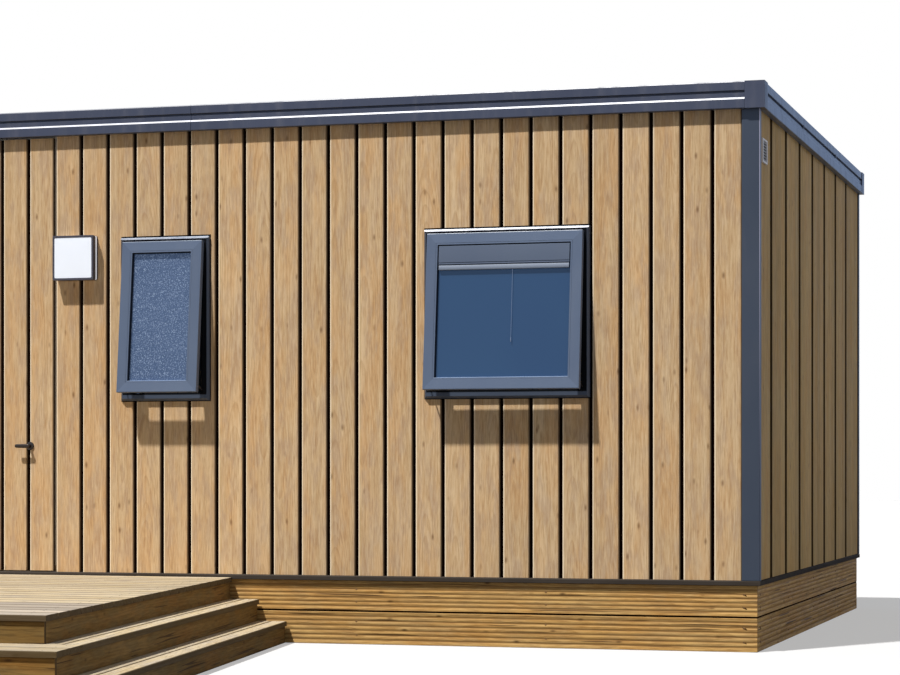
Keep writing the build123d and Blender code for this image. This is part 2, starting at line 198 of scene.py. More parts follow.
def turn_outwards(mesh):
    work = bmesh.new()
    work.from_mesh(mesh)
    bmesh.ops.recalc_face_normals(work, faces=work.faces)
    work.to_mesh(mesh)
    work.free()


def new_board(tilt=0.035):
    """Chance figure of one board: how far and how steeply the tree's heart lies behind its face."""
    return {
        "seed": draw.random(),
        "tone": draw.random(),
        "pith": (draw.uniform(-0.06, 0.06), draw.uniform(0.03, 0.11), draw.uniform(-tilt, tilt)),
    }


def loft_faces(stations, around, closed):
    """Quads between neighbouring sections, and a cap on each end of an open run."""
    s, p = np.meshgrid(np.arange(stations if closed else stations - 1), np.arange(around), indexing="ij")
    s2, p2 = (s + 1) % stations, (p + 1) % around
    quads = np.stack([s * around + p, s * around + p2, s2 * around + p2, s2 * around + p], -1)
    faces = quads.reshape(-1, 4).tolist()
    if not closed:
        faces.append(list(range(around)))
        faces.append(list(range((stations - 1) * around, stations * around)))
    return faces


def loft(stock, sections, closed=False, board=None):
    """A skin over sections, an array of stations by points round each one."""
    sections = np.asarray(sections, float)
    stock.add(sections, loft_faces(sections.shape[0], sections.shape[1], closed), board=board)


def along_x(stock, place, section, x0, x1):
    """A section of (out, height) points carried from x0 to x1."""
    out, height = np.array(section).T
    loft(stock, [place(x + 0 * out, out, height) for x in (x0, x1)])


def arc(cx, cy, radius, start, end, steps=4):
    """Points of a circle's arc, centre plus radius times cosine and sine, angles in degrees."""
    turn = np.radians(np.linspace(start, end, steps))
    return np.stack([cx + radius * np.cos(turn), cy + radius * np.sin(turn)], -1)


def board_section(width, thick, ease, edge, guard):
    """A rectangle from (0, -thick) to (width, 0) whose two face edges are quarter circles of the given radii.
    Each point's edge value is above 0 where the edge is lightened as a painted highlight and below 0 where it
    is darkened as painted shade; the board's sides towards its back are darkened as painted shade."""
    points, marks = [(0.0, -thick)], [-1.0 if ease[0] else 0.0]
    if ease[0]:
        rounded = arc(ease[0], -ease[0], ease[0], 180, 90)
        points += list(map(tuple, rounded)) + [(ease[0] + guard, 0.0)]
        marks += [edge[0]] * len(rounded) + [0.0]
    else:
        points.append((0.0, 0.0))
        marks.append(0.0)
    if ease[1]:
        rounded = arc(width - ease[1], -ease[1], ease[1], 90, 0)
        points += [(width - ease[1] - guard, 0.0)] + list(map(tuple, rounded))
        marks += [0.0] + [edge[1]] * (len(rounded) - 1) + [-1.0]
    else:
        points.append((width, 0.0))
        marks.append(0.0)
    points.append((width, -thick))
    marks.append(-1.0 if ease[1] else 0.0)
    return np.array(points), np.array(marks)


def run(stock, place, section, stations, first=0.0, middle=0.0, marks=None, board=None, scale=1.0,
        dark_ends=0.0):
    """A section carried along two or more stations: place takes across, face and along. Its grain is
    measured from the board's middle line."""
    along = np.array(stations, float)[:, None]
    if dark_ends:
        start, end = stations
        along = np.array([start, start + dark_ends, end - dark_ends, end])[:, None]
    across, face = section[None, :, 0] + first, section[None, :, 1]
    points = place(across + 0 * along, face + 0 * along, along + 0 * across)
    grain = np.stack(np.broadcast_arrays(across - middle, face, along * scale), -1)
    edges = np.broadcast_to(0.0 if marks is None else marks, grain.shape[:2]).copy()
    # Both ends get painted shade.
    if dark_ends:
        edges[[0, -1]] = -1.0
    stock.add(points, loft_faces(len(along), len(section), False), grain, edges, board)


def plank(stock, place, low_edge, high_edge, start, end, thick, ease, edge, guard=0.004, **more):
    section, marks = board_section(high_edge - low_edge, thick, ease, edge, guard)
    more.setdefault("middle", (low_edge + high_edge) / 2)
    more.setdefault("board", new_board())
    run(stock, place, section, (start, end), first=low_edge, marks=marks, **more)


def cut_board(stock, wall, x0, x1, z0, z1, thick, holes, ease, edge):
    """A standing board, notched where a window's frame passes through it."""
    board, middle = new_board(), (x0 + x1) / 2
    cuts = sorted({x0, x1} | {x for h in holes for x in h[:2] if x0 < x < x1})
    for a, b in zip(cuts[:-1], cuts[1:]):
        spans = [(z0, z1)]
        for hx0, hx1, hz0, hz1 in holes:
            if hx0 < (a + b) / 2 < hx1:
                spans = [(z0, hz0), (hz1, z1)]
        eases = (ease[0] if a == x0 else 0.0, ease[1] if b == x1 else 0.0)
        for foot, head in spans:
            plank(stock, upright(wall), a, b, foot, head, thick, eases, edge, middle=middle, board=board)


def box_block(stock, place, a0, a1, f0, f1, l0, l1, edge=0.0, board=None):
    """A block from a0 to a1 across, f0 to f1 out and l0 to l1 along, its four long edges cut off."""
    e = edge
    if e:
        outline = [(a0, f0 + e), (a0, f1 - e), (a0 + e, f1), (a1 - e, f1), (a1, f1 - e), (a1, f0 + e),
                   (a1 - e, f0), (a0 + e, f0)]
    else:
        outline = [(a0, f0), (a0, f1), (a1, f1), (a1, f0)]
    run(stock, place, np.array(outline), (l0, l1), board=board)


def mitred(stock, place, section, x0, x1, z0, z1, tones=(0.75, 0.25, 0.75, 0.25), foot=None):
    """Four bars with a section of (inset, out) points, mitred at the corners of a rectangle, with their
    tones from the foot bar round by the right. The foot bar may have a section of its own."""
    corners = ((x0, z0, 1, 1), (x1, z0, -1, 1), (x1, z1, -1, -1), (x0, z1, 1, -1))
    rings = []
    for x, z, sx, sz in corners:
        inset, out = np.array(foot if foot and sz > 0 else section).T
        rings.append(place(x + sx * inset, out, z + sz * inset))
    for k in range(4):
        bar = dict(plain_board, tone=tones[k])
        loft(stock, [rings[k], rings[(k + 1) % 4]], board=bar)


def rounded_square(half, radius, steps=5):
    """A square of half size half whose corners are quarter circles."""
    radius = min(radius, half)
    inner = half - radius
    sides = [arc(sx * inner, sz * inner, radius, turn, turn + 90, steps)
             for sx, sz, turn in ((1, 1, 0), (-1, 1, 90), (-1, -1, 180), (1, -1, 270))]
    return np.concatenate(sides)


def stepped(stock, wall, x, z, outline, levels, closed=False):
    """Copies of an outline round (x, z), each scaled and set out from the wall, as (scale, out)."""
    rings = [wall(x + outline[:, 0] * s, u + 0 * outline[:, 0], z + outline[:, 1] * s) for s, u in levels]
    loft(stock, rings, closed=closed)


circle = arc(0, 0, 1, 0, 360, 25)[:-1]


# Node trees

def srgb(r, g, b):
    """A colour as it is written on screen, 0 to 255, made linear."""
    c = np.array([r, g, b]) / 255
    lin = np.where(c <= 0.04045, c / 12.92, ((c + 0.055) / 1.055) ** 2.4)
    return (*lin.tolist(), 1.0)


def dim(colour, share):
    """A screen colour made linear, with its light cut down to a share."""
    return (*[part * share for part in srgb(*colour)[:3]], 1.0)


def feed(tree, node, inputs):
    """Link sockets to a node's inputs, and set the others to plain values."""
    for name, value in inputs.items():
        if isinstance(value, bpy.types.NodeSocket):
            tree.links.new(value, node.inputs[name])
        else:
            node.inputs[name].default_value = value


def put(tree, kind, inputs=None, **settings):
    """Add a node, set it up and feed its inputs."""
    node = tree.nodes.new(kind)
    for name, value in settings.items():
        setattr(node, name, value)
    feed(tree, node, inputs or {})
    return node


def calc(tree, operation, *values, clamp=False):
    node = put(tree, "ShaderNodeMath", dict(enumerate(values)), operation=operation, use_clamp=clamp)
    return node.outputs[0]


def axes(tree, vector):
    return put(tree, "ShaderNodeSeparateXYZ", {0: vector}).outputs


def layered(tree, colour, *layers, mode="MIX"):
    """Colours laid over the first, each as (amount, colour). Three plain numbers are a screen colour."""
    def linear(tone):
        return srgb(*tone) if isinstance(tone, tuple) and len(tone) == 3 else tone
    for amount, tone in layers:
        inputs = {0: amount, 6: linear(colour), 7: linear(tone)}
        colour = put(tree, "ShaderNodeMix", inputs, data_type="RGBA", blend_type=mode).outputs[2]
    return colour


def times(tree, colour, shade):
    """A colour times one number."""
    even = put(tree, "ShaderNodeCombineXYZ", {0: shade, 1: shade, 2: shade}).outputs[0]
    return layered(tree, colour, (1.0, even), mode="MULTIPLY")


def span(tree, value, from_low, from_high, to_low=0.0, to_high=1.0):
    """Map a value from one range to another, smoothly and clamped."""
    inputs = {0: value, 1: from_low, 2: from_high, 3: to_low, 4: to_high}
    return put(tree, "ShaderNodeMapRange", inputs, interpolation_type="SMOOTHSTEP").outputs[0]


def noise(tree, vector, scale=1.0, detail=2.0, roughness=0.5):
    inputs = {"Vector": vector, "Scale": scale, "Detail": detail, "Roughness": roughness}
    return put(tree, "ShaderNodeTexNoise", inputs).outputs["Fac"]


def stretch(tree, vector, x, y, z):
    """A vector scaled along each axis by its own number."""
    return put(tree, "ShaderNodeVectorMath", {0: vector, 1: (x, y, z)}, operation="MULTIPLY").outputs[0]


def new_group(name, inputs, outputs):
    """A node group: an input without a value is a vector, and every output is a number."""
    tree = bpy.data.node_groups.new(name, "ShaderNodeTree")
    for label, value in inputs.items():
        kind = "NodeSocketVector" if value is None else "NodeSocketFloat"
        socket = tree.interface.new_socket(label, in_out="INPUT", socket_type=kind)
        if value is not None:
            socket.default_value = value
    for label in outputs:
        tree.interface.new_socket(label, in_out="OUTPUT", socket_type="NodeSocketFloat")
    return tree, tree.nodes.new("NodeGroupInput").outputs, tree.nodes.new("NodeGroupOutput")


def timber_figure():
    """Year rings cut lengthwise, streaks, fibres, knots, patches, clouds and cracks of a board.

    The rings are circles round a heart line that leans away behind the face: the distance of a point
    from that line, divided by the ring's width, rises within each ring and drops at its end.
    """
    tree, given, sink = new_group(
        "timber_figure",
        {"Grain": None, "Pith": None, "Look": None, "Ring Width": 0.012, "Waver": 0.02, "Knots": 1.0},
        ("Rings", "Streaks", "Fibres", "Knots", "Patches", "Clouds", "Cracks"))
    seed = axes(tree, given["Look"])[0]
    shift = put(tree, "ShaderNodeVectorMath", {0: (31.7, 17.3, 53.9), "Scale": seed}, operation="SCALE")

    def at(x, y, z):
        moved = stretch(tree, given["Grain"], x, y, z)
        return put(tree, "ShaderNodeVectorMath", {0: moved, 1: shift.outputs[0]}, operation="ADD").outputs[0]

    def veil(x, y, z, detail, roughness=0.5):
        return noise(tree, at(x, y, z), 1, detail, roughness)

    grain, pith = axes(tree, given["Grain"]), axes(tree, given["Pith"])
    drift = calc(tree, "MULTIPLY", calc(tree, "SUBTRACT", veil(6, 6, 1.3, 3), 0.5), given["Waver"])
    sway = calc(tree, "MULTIPLY", calc(tree, "SUBTRACT", veil(2, 2, 0.8, 2), 0.5), 0.09)
    side = calc(tree, "ADD", calc(tree, "SUBTRACT", grain[0], pith[0]), drift)
    lean = calc(tree, "MULTIPLY_ADD", grain[2], pith[2], pith[1])
    deep = calc(tree, "ADD", calc(tree, "SUBTRACT", lean, grain[1]), sway)
    squares = calc(tree, "ADD", calc(tree, "MULTIPLY", side, side), calc(tree, "MULTIPLY", deep, deep))
    turn = calc(tree, "DIVIDE", calc(tree, "SQRT", squares), given["Ring Width"])
    year = calc(tree, "FRACT", calc(tree, "ADD", turn, seed))
    rise, fall = calc(tree, "POWER", year, 1.8), span(tree, year, 0.90, 1.0, 1.0, 0.0)
    cell = put(tree, "ShaderNodeTexVoronoi", {"Vector": at(15, 15, 6.5), "Scale": 1.0}).outputs
    chance = put(tree, "ShaderNodeSeparateColor", {0: cell["Color"]}).outputs[0]
    rare = calc(tree, "GREATER_THAN", chance, 0.55)
    spot = span(tree, cell["Distance"], 0.01, 0.2, 1.0, 0.0)
    feed(tree, sink, {
        "Rings": calc(tree, "MULTIPLY", rise, fall),
        "Streaks": span(tree, veil(34, 34, 1.1, 4, 0.62), 0.34, 0.66),
        "Fibres": veil(125, 125, 11, 4, 0.65),
        "Knots": calc(tree, "MULTIPLY", calc(tree, "MULTIPLY", spot, rare), given["Knots"]),
        "Patches": span(tree, veil(9, 9, 1.7, 2), 0.38, 0.68),
        "Clouds": span(tree, veil(17, 17, 4.5, 3, 0.6), 0.42, 0.66),
        "Cracks": span(tree, veil(70, 70, 1.5, 1), 0.66, 0.70),
    })
    return tree


def paint_film():
    """Sprayed paint on metal: a cloudy tone, dust settled in streaks and a fine orange-peel height."""
    tree, given, sink = new_group("paint_film", {"Vector": None, "Cloud Size": 1.5, "Peel Size": 260.0},
                                  ("Cloud", "Dust", "Peel"))
    streaky = noise(tree, stretch(tree, given["Vector"], 14, 14, 2.2), 1, 4, 0.65)
    feed(tree, sink, {
        "Cloud": noise(tree, given["Vector"], given["Cloud Size"], 3),
        "Dust": span(tree, streaky, 0.45, 0.8),
        "Peel": noise(tree, given["Vector"], given["Peel Size"], 1),
    })
    return tree


timber_tree = timber_figure()
paint_tree = paint_film()


def new_material(name):
    material = bpy.data.materials.new(name)
    material.use_nodes = True
    tree = material.node_tree
    tree.nodes.clear()
    shader = tree.nodes.new("ShaderNodeBsdfPrincipled")
    put(tree, "ShaderNodeOutputMaterial", {"Surface": shader.outputs[0]})
    return material, tree, shader


def finish(tree, shader, colour, rough, height=None, depth=0.0, others=None):
    """Feed a shader its colour and roughness, a height that it bumps by, and its other inputs."""
    feed(tree, shader, {"Base Color": colour, "Roughness": rough, **(others or {})})
    if height is not None:
        bump = put(tree, "ShaderNodeBump", {"Height": height, "Distance": depth, "Strength": 1.0})
        feed(tree, shader, {"Normal": bump.outputs[0]})


def object_place(tree):
    return tree.nodes.new("ShaderNodeTexCoord").outputs["Object"]


def attribute(tree, label):
    return put(tree, "ShaderNodeAttribute", attribute_name=label).outputs["Vector"]


def board_place(tree, along):
    """Grain, pith and look: from the boards' own attributes, or on a plain part from its place, along
    the named axis."""
    if along is None:
        return [attribute(tree, label) for label in ("grain", "pith", "look")]
    place = axes(tree, object_place(tree))
    order = {"y": (0, 2, 1), "z": (0, 1, 2)}[along]
    grain = put(tree, "ShaderNodeCombineXYZ", {i: place[n] for i, n in enumerate(order)}).outputs[0]
    return [grain, (0.0, 0.1, 0.02), (0.3, 0.5, 0.0)]


def timber(name, light, mid, dark, warm, cool, knot, pale, deep=(30, 14, 6), along=None, ring=0.008,
           figure=0.5, streak=0.7, tones=0.16, knots=1.0, cracks=0.0, grooves=None, grey=None):
    """Timber: streaks from mid to light, dark late wood, warm and cool patches, knots, a tone for each board,
    edges lightened as a painted highlight or darkened as painted shade, and where given painted shade in the
    grooves and boards that have gone grey."""
    material, tree, shader = new_material(name)
    grain, pith, look = board_place(tree, along)
    inputs = {"Grain": grain, "Pith": pith, "Look": look, "Ring Width": ring, "Knots": knots}
    figures = put(tree, "ShaderNodeGroup", inputs, node_tree=timber_tree).outputs
    fleck = 0.45

    def share(label, amount):
        return calc(tree, "MULTIPLY", figures[label], amount)

    colour = layered(
        tree, mid, (share("Streaks", streak), light), (share("Patches", 0.65), warm),
        (share("Clouds", 0.7), cool), (share("Rings", figure), dark),
        (span(tree, figures["Fibres"], 0.5, 0.68, 0.0, fleck), dark),
        (span(tree, figures["Fibres"], 0.34, 0.5, fleck, 0.0), light), (share("Knots", 0.75), knot))
    if cracks:
        colour = layered(tree, colour, (share("Cracks", cracks), knot))
    if along is None:
        seed, tone, edge = axes(tree, look)
        if grey:
            colour = layered(tree, colour, (span(tree, seed, 0.72, 0.8, 0.0, 0.6), grey))
        colour = times(tree, colour, calc(tree, "MULTIPLY_ADD", tone, 2 * tones, 1 - tones))
        # Edge values above 0 lighten an edge with the pale colour as a painted highlight; values below 0
        # darken it with the deep colour as painted shade.
        highlit_edge = calc(tree, "MULTIPLY", edge, 0.85, clamp=True)
        shaded_edge = calc(tree, "MULTIPLY", edge, -0.92, clamp=True)
        colour = layered(tree, colour, (highlit_edge, pale), (shaded_edge, deep))
    # Painted shade: the colour darkens towards the bottom of each groove.
    if grooves:
        depth = axes(tree, grain)[1]
        colour = layered(tree, colour, (span(tree, depth, -0.0015, -0.0002, 0.7, 0.0), grooves))
    roughness = calc(tree, "MULTIPLY_ADD", figures["Streaks"], -0.12, 0.68)
    height = calc(tree, "SUBTRACT", share("Fibres", 0.6), figures["Rings"])
    finish(tree, shader, colour, roughness, height, 0.0005, {"Specular IOR Level": 0.12})
    return material


def paint(name, colour, lighter, rough=0.36, dust=None, cloud=1.5, shine=0.5, peel=0.0002, bars=False):
    """Painted metal or plastic with a cloudy tone, a little dust and orange peel; bars have each their own
    tone, which on the window lips and bead reveals is painted light and shade."""
    material, tree, shader = new_material(name)
    inputs = {"Vector": object_place(tree), "Cloud Size": cloud}
    film = put(tree, "ShaderNodeGroup", inputs, node_tree=paint_tree).outputs
    base = layered(tree, colour, (span(tree, film["Cloud"], 0.35, 0.65), lighter))
    if dust:
        base = layered(tree, base, (calc(tree, "MULTIPLY", film["Dust"], 0.18), dust))
    if bars:
        tone = axes(tree, attribute(tree, "look"))[1]
        base = times(tree, base, calc(tree, "MULTIPLY_ADD", tone, 0.3, 0.85))
    roughness = calc(tree, "MULTIPLY_ADD", film["Dust"], 0.15, rough)
    finish(tree, shader, base, roughness, film["Peel"], peel, {"Specular IOR Level": shine})
    return material


def metal(name, colour, rough):
    """Bare metal with brush lines."""
    material, tree, shader = new_material(name)
    lines = noise(tree, stretch(tree, object_place(tree), 1, 1, 60), 30, 2)
    brushed = layered(tree, colour, (lines, dim(colour, 0.7)))
    finish(tree, shader, brushed, calc(tree, "MULTIPLY_ADD", lines, 0.2, rough), lines, 0.00005,
           {"Metallic": 1.0})
    return material


def glass(name, colour, deeper, through, rough, glow, painted_sparkle=None):
    """Tinted glass whose blue, given partly as a glow, is a painted reflection of the sky; the glow is
    painted light that evens out the shadow on the glass. The obscured kind is hammered all over and has small
    pale dimples painted as sparkling glints."""
    material, tree, shader = new_material(name)
    place = object_place(tree)
    base = layered(tree, colour, (span(tree, noise(tree, place, 0.9, 2), 0.35, 0.65), deeper))
    grit = None
    if painted_sparkle:
        grit = noise(tree, place, 130, 3, 0.8)
        base = layered(tree, base, (span(tree, grit, 0.34, 0.5, 0.5, 0.0), dim(colour, 0.55)),
                       (span(tree, grit, 0.52, 0.66, 0.0, 0.85), painted_sparkle))
    finish(tree, shader, base, rough, grit, 0.0006, {
        "IOR": 1.5, "Emission Color": base, "Emission Strength": glow, "Transmission Weight": through})
    return material


def planks_floor():
    """Laminate planks, 190 mm wide and 1.2 m long, with fine dark joints."""
    material, tree, shader = new_material("laminate_floor")
    place = object_place(tree)
    brick = put(tree, "ShaderNodeTexBrick", {
        "Vector": place, "Scale": 1.0, "Mortar Size": 0.0015, "Brick Width": 1.2, "Row Height": 0.19,
        "Color1": srgb(176, 150, 118), "Color2": srgb(196, 172, 138), "Mortar": srgb(86, 66, 48)}).outputs
    streak = calc(tree, "MULTIPLY", noise(tree, stretch(tree, place, 1.2, 46, 46), 1, 4, 0.6), 0.5)
    tone = layered(tree, brick["Color"], (streak, (146, 118, 88)))
    finish(tree, shader, tone, 0.42, brick["Fac"], -0.0006)
    return material


def wall_lining():
    """Pale lining boards inside, an upright joint every 0.6 m."""
    material, tree, shader = new_material("wall_lining")
    place = object_place(tree)
    across = axes(tree, place)
    share = calc(tree, "FRACT", calc(tree, "DIVIDE", calc(tree, "ADD", across[0], across[1]), 0.6))
    joint = calc(tree, "ABSOLUTE", calc(tree, "SUBTRACT", share, 0.5))
    line = span(tree, joint, 0.004, 0.010, 1.0, 0.0)
    tone = layered(tree, (214, 208, 196), (noise(tree, place, 2.5, 3), (226, 221, 211)),
                   (line, (150, 144, 132)))
    finish(tree, shader, tone, 0.6, line, -0.001)
    return material


def concrete():
    """Cast concrete, cloudy and with fine dark grit."""
    material, tree, shader = new_material("pier_concrete")
    place = object_place(tree)
    grit = noise(tree, place, 160, 4, 0.7)
    tone = layered(tree, (142, 140, 134), (noise(tree, place, 5, 4), (168, 166, 160)),
                   (span(tree, grit, 0.5, 0.8), (112, 110, 105)))
    finish(tree, shader, tone, 0.9, grit, 0.0015)
    return material


def lamp_glow(name, strength):
    """Opal plastic that gives a little light; on the lamp's neck that glow is painted light."""
    material, tree, shader = new_material(name)
    place = object_place(tree)
    tone = layered(tree, (225, 231, 243), (noise(tree, place, 8, 2), (229, 235, 246)))
    finish(tree, shader, tone, 0.35, noise(tree, place, 300, 1), 0.0001,
           {"Emission Color": tone, "Emission Strength": strength})
    return material


def fading_glint():
    """A painted highlight along the edge of a corner post: pale at its head and as dull as the post at its
    foot.
    """
    material, tree, shader = new_material("edge_glint")
    height = axes(tree, object_place(tree))[2]
    tone = layered(tree, (50, 56, 70), (span(tree, height, 0.8, 3.0), (186, 184, 206)))
    finish(tree, shader, tone, 0.4)
    return material


# Materials
oak = timber("oak_boards", (216, 190, 153), (193, 162, 123), (160, 122, 80), (203, 161, 114), (182, 156, 130),
             (112, 80, 50), (242, 224, 196), streak=0.8, figure=0.42, tones=0.05)
# Its deep colour is the painted shade on the panel sides at the open channels.
oak_end = timber("oak_end_boards", (199, 167, 109), (183, 149, 92), (142, 108, 57), (182, 138, 75),
                 (168, 141, 90), (100, 72, 38), (206, 182, 140), deep=(24, 10, 4), figure=0.4, tones=0.12)
# Its groove colour is painted shade in the grooves.
pine = timber("skirt_pine", (206, 170, 110), (186, 147, 87), (138, 98, 50), (184, 136, 74), (168, 136, 90),
              (66, 42, 20), (204, 170, 112), ring=0.010, figure=0.6, grooves=(138, 102, 58), tones=0.07,
              knots=1.2, cracks=0.8)
# Its deep colour is painted shade on the boards' edges and ends.
deck_pale = timber("deck_pale", (206, 192, 166), (184, 168, 140), (124, 106, 76), (190, 168, 128),
                   (168, 158, 146), (96, 76, 52), (200, 188, 162), deep=(66, 50, 24), ring=0.014,
                   figure=0.55, tones=0.2, grey=(162, 153, 146))
# Its deep colour is painted shade on the boards' edges.
riser_brown = timber("riser_brown", (134, 106, 60), (114, 88, 46), (78, 56, 26), (124, 86, 40), (104, 88, 56),
                     (56, 36, 18), (140, 116, 70), deep=(48, 34, 18), ring=0.012, tones=0.14, cracks=0.9)
raw_tones = ((176, 150, 104), (150, 124, 80), (110, 84, 48), (150, 114, 66), (140, 122, 90), (70, 48, 26),
             (160, 130, 90))
raw_upright = timber("raw_upright", *raw_tones, along="z")
raw_level = timber("raw_level", *raw_tones, along="y")
slate = paint("slate_paint", (61, 66, 84), (66, 71, 89), dust=(120, 120, 128))
# A lighter copy of the slate paint for the end fascias: a painted reflection of the sky on the shaded ends.
slate_sheen = paint("slate_sheen_paint", (85, 97, 121), (90, 102, 126), dust=(126, 128, 136))
post_paint = paint("post_paint", (54, 62, 76), (58, 66, 80), rough=0.4)
sill_paint = paint("sill_paint", (58, 52, 47), (66, 60, 55), rough=0.8, shine=0.03)
# Pale paint for strips that are a painted highlight: the sun's glint on a window frame's sloped head and on
# the fascia's lip.
glint_strip = paint("glint_strip", (196, 198, 212), (204, 206, 218), rough=0.4)
edge_glint = fading_glint()
# A duller painted highlight for the small windows' head strips.
dull_glint = paint("dull_glint", (94, 104, 124), (99, 109, 128), rough=0.45)
window_blue = paint("window_paint", (85, 98, 121), (90, 103, 125), rough=0.38, bars=True)
frame_blue = paint("door_frame_paint", (90, 102, 124), (95, 107, 128), rough=0.38)
bead_blue = paint("bead_paint", (72, 87, 111), (78, 92, 115), rough=0.6, shine=0.12, bars=True)
seal_and_shade_black = paint("seal_and_shade_black", (14, 16, 20), (18, 20, 24), rough=0.8, shine=0.05)
cassette_paint = paint("cassette_paint", (79, 90, 110), (83, 94, 113), rough=0.5, shine=0.3)
rail_silver = paint("rail_silver", (122, 132, 150), (128, 138, 155), rough=0.5, shine=0.3)
screw_coat = paint("screw_coat", (122, 88, 48), (132, 98, 56), rough=0.5)
split_dark = paint("dark_split", (66, 44, 24), (86, 60, 34), rough=0.9, shine=0.0, cloud=90)
membrane = paint("black_membrane", (22, 8, 3), (28, 12, 5), rough=0.95, shine=0.0, peel=0.0004)
roof_paint = paint("roof_sheet", (84, 90, 100), (92, 98, 108), rough=0.45, dust=(150, 148, 142))
# The glows are painted light, and the blues a painted reflection of the sky.
clear_glass = glass("clear_glass", (40, 65, 97), (42, 68, 99), 0.25, 0.03, 0.35)
obscured_glass = glass("obscured_glass", (51, 68, 95), (57, 74, 101), 0.2, 0.4, 0.6, (132, 147, 170))
dark_steel = metal("dark_steel", (92, 90, 92), 0.28)
bright_steel = metal("bright_steel", (190, 190, 194), 0.22)
lever_metal = metal("dark_lever", (84, 74, 66), 0.34)
rose_metal = metal("dark_rose", (96, 88, 82), 0.34)
lamp_dark = paint("lamp_dark", (62, 60, 70), (68, 66, 76), rough=0.42)
vent_white = paint("vent_plastic", (222, 220, 224), (228, 226, 230), rough=0.5)
vent_grey = paint("vent_slats", (138, 134, 130), (146, 142, 138), rough=0.6)
door_white = paint("door_white", (214, 214, 216), (220, 220, 222), rough=0.4)
chassis_paint = paint("chassis_steel", (96, 98, 100), (110, 112, 114), rough=0.5, dust=(140, 130, 112))
opal = lamp_glow("lamp_white", 0.16)
# The neck's glow is painted light: it brightens a side that the sun does not reach.
glowing_neck = lamp_glow("lamp_neck_white", 0.4)

for material, plain_nodes in (
    (planks_floor(), ["floor_panel"]), (chassis_paint, ["chassis"]), (concrete(), ["support_piers"]),
    (wall_lining(), ["front_wall_right", "front_wall_left", "front_wall_head", "back_wall", "left_end_wall",
                     "right_end_wall"]),
    (raw_upright, ["skirt_posts", "deck_posts"]), (raw_level, ["deck_joists"]), (roof_paint, ["roof_panel"]),
    (clear_glass, ["large_window_glass"]), (obscured_glass, ["small_window_glass"]),
    (dark_steel, ["window_stays", "wall_hinges", "door_hinges"]), (frame_blue, ["door_frame"]),
    (door_white, ["door_core"]),
):
    for node in plain_nodes:
        slots = nodes[node].data.materials
        slots.clear()
        slots.append(material)
# Sunlight passes through the glass onto the boards below
for node in ("large_window_glass", "small_window_glass"):
    nodes[node].visible_shadow = False


# Windows on both long walls
windows = [(side * large_x, large_w) for side in (-1, 1)] + [(side * small_x, small_w) for side in (-1, 1)]
window_holes = [(x - w / 2, x + w / 2, window_foot, window_head) for x, w in windows]


def clad(name, wall, edges, holes, stands_for):
    """Standing boards between the pairs of edges, notched round the windows."""
    stock = Stock()
    for x0, x1 in edges:
        cut_board(stock, wall, x0, x1, wall_foot, wall_head, board_t, holes, board_ease, board_edge_light)
    stock.piece(name, oak, "oak_boards", stands_for)


def grid(first_line, count):
    """Edges of count boards from a line of the board grid."""
    lines = first_line + pitch * np.arange(count + 1)
    return [(a + gap / 2, b - gap / 2) for a, b in zip(lines[:-1], lines[1:])]


board_holes = [(a - sealant, b + sealant, c - sealant, d + 2 * sealant) for a, b, c, d in window_holes]
clad("front_boards_right", front, grid(door_half, side_boards), board_holes, "front_cladding_right")
clad("front_boards_left", front, grid(-door_half - side_boards * pitch, side_boards), board_holes,
     "front_cladding_left")
clad("back_boards", back, grid(-door_half - side_boards * pitch, 2 * side_boards + door_boards), board_holes,
     "back_cladding")


def end_edges():
    """Tongued planks of the end walls, in wide panels with an open joint between them, from the front."""
    start, end = -post_line_w, post_line_w
    joints = np.arange(-half_width + end_first, end, end_pitch)
    lines = [start, *[j for j in joints if start < j < end - end_pitch / 2], end]
    spans = []
    for i, (a, b) in enumerate(zip(lines[:-1], lines[1:])):
        a = a + (end_gap / 2 if i else 0)
        b = b - (end_gap / 2 if i < len(lines) - 2 else 0)
        count = max(1, round((b - a) / end_plank))
        cuts = np.linspace(a, b, count + 1)
        spans += [(p + 0.0003, q - 0.0003, p == a, q == b) for p, q in zip(cuts[:-1], cuts[1:])]
    return spans


post_w = half_length - post_line
post_line_w = high("end_cladding").y
post_side_w = half_width - post_line_w
ends = Stock()
for x0, x1, first, last in end_edges():
    ease = (0.003 if first else 0.0012, 0.003 if last else 0.0012)
    # The panel sides at the open channels are darkened as painted shade.
    edge = (-0.9 * first, -0.9 * last)
    cut_board(ends, right, x0, x1, wall_foot, wall_head, board_t, [], ease, edge)
    cut_board(ends, left, -x1, -x0, wall_foot, wall_head, board_t, [], ease[::-1], edge[::-1])
ends.piece("end_boards", oak_end, "oak_boards", "end_cladding")


def cover(stock, wall, x0, x1, holes):
    """A flat sheet over a wall with the windows left out."""
    cuts = sorted({x0, x1} | {x for h in holes for x in h[:2] if x0 < x < x1})
    for a, b in zip(cuts[:-1], cuts[1:]):
        inside = any(h[0] < (a + b) / 2 < h[1] for h in holes)
        spans = [(wall_foot, window_foot), (window_head, wall_head)] if inside else [(wall_foot, wall_head)]
        for z0, z1 in spans:
            box_block(stock, upright(wall), a, b, -cladding_t, membrane_t - cladding_t, z0, z1)


sheets = Stock()
cover(sheets, front, door_half + gap / 2, post_line, window_holes)
cover(sheets, front, -post_line, -door_half - gap / 2, window_holes)
cover(sheets, back, -post_line, post_line, window_holes)
cover(sheets, right, -post_line_w, post_line_w, [])
cover(sheets, left, -post_line_w, post_line_w, [])
sheets.piece("wall_membrane", membrane, "wall_panel")

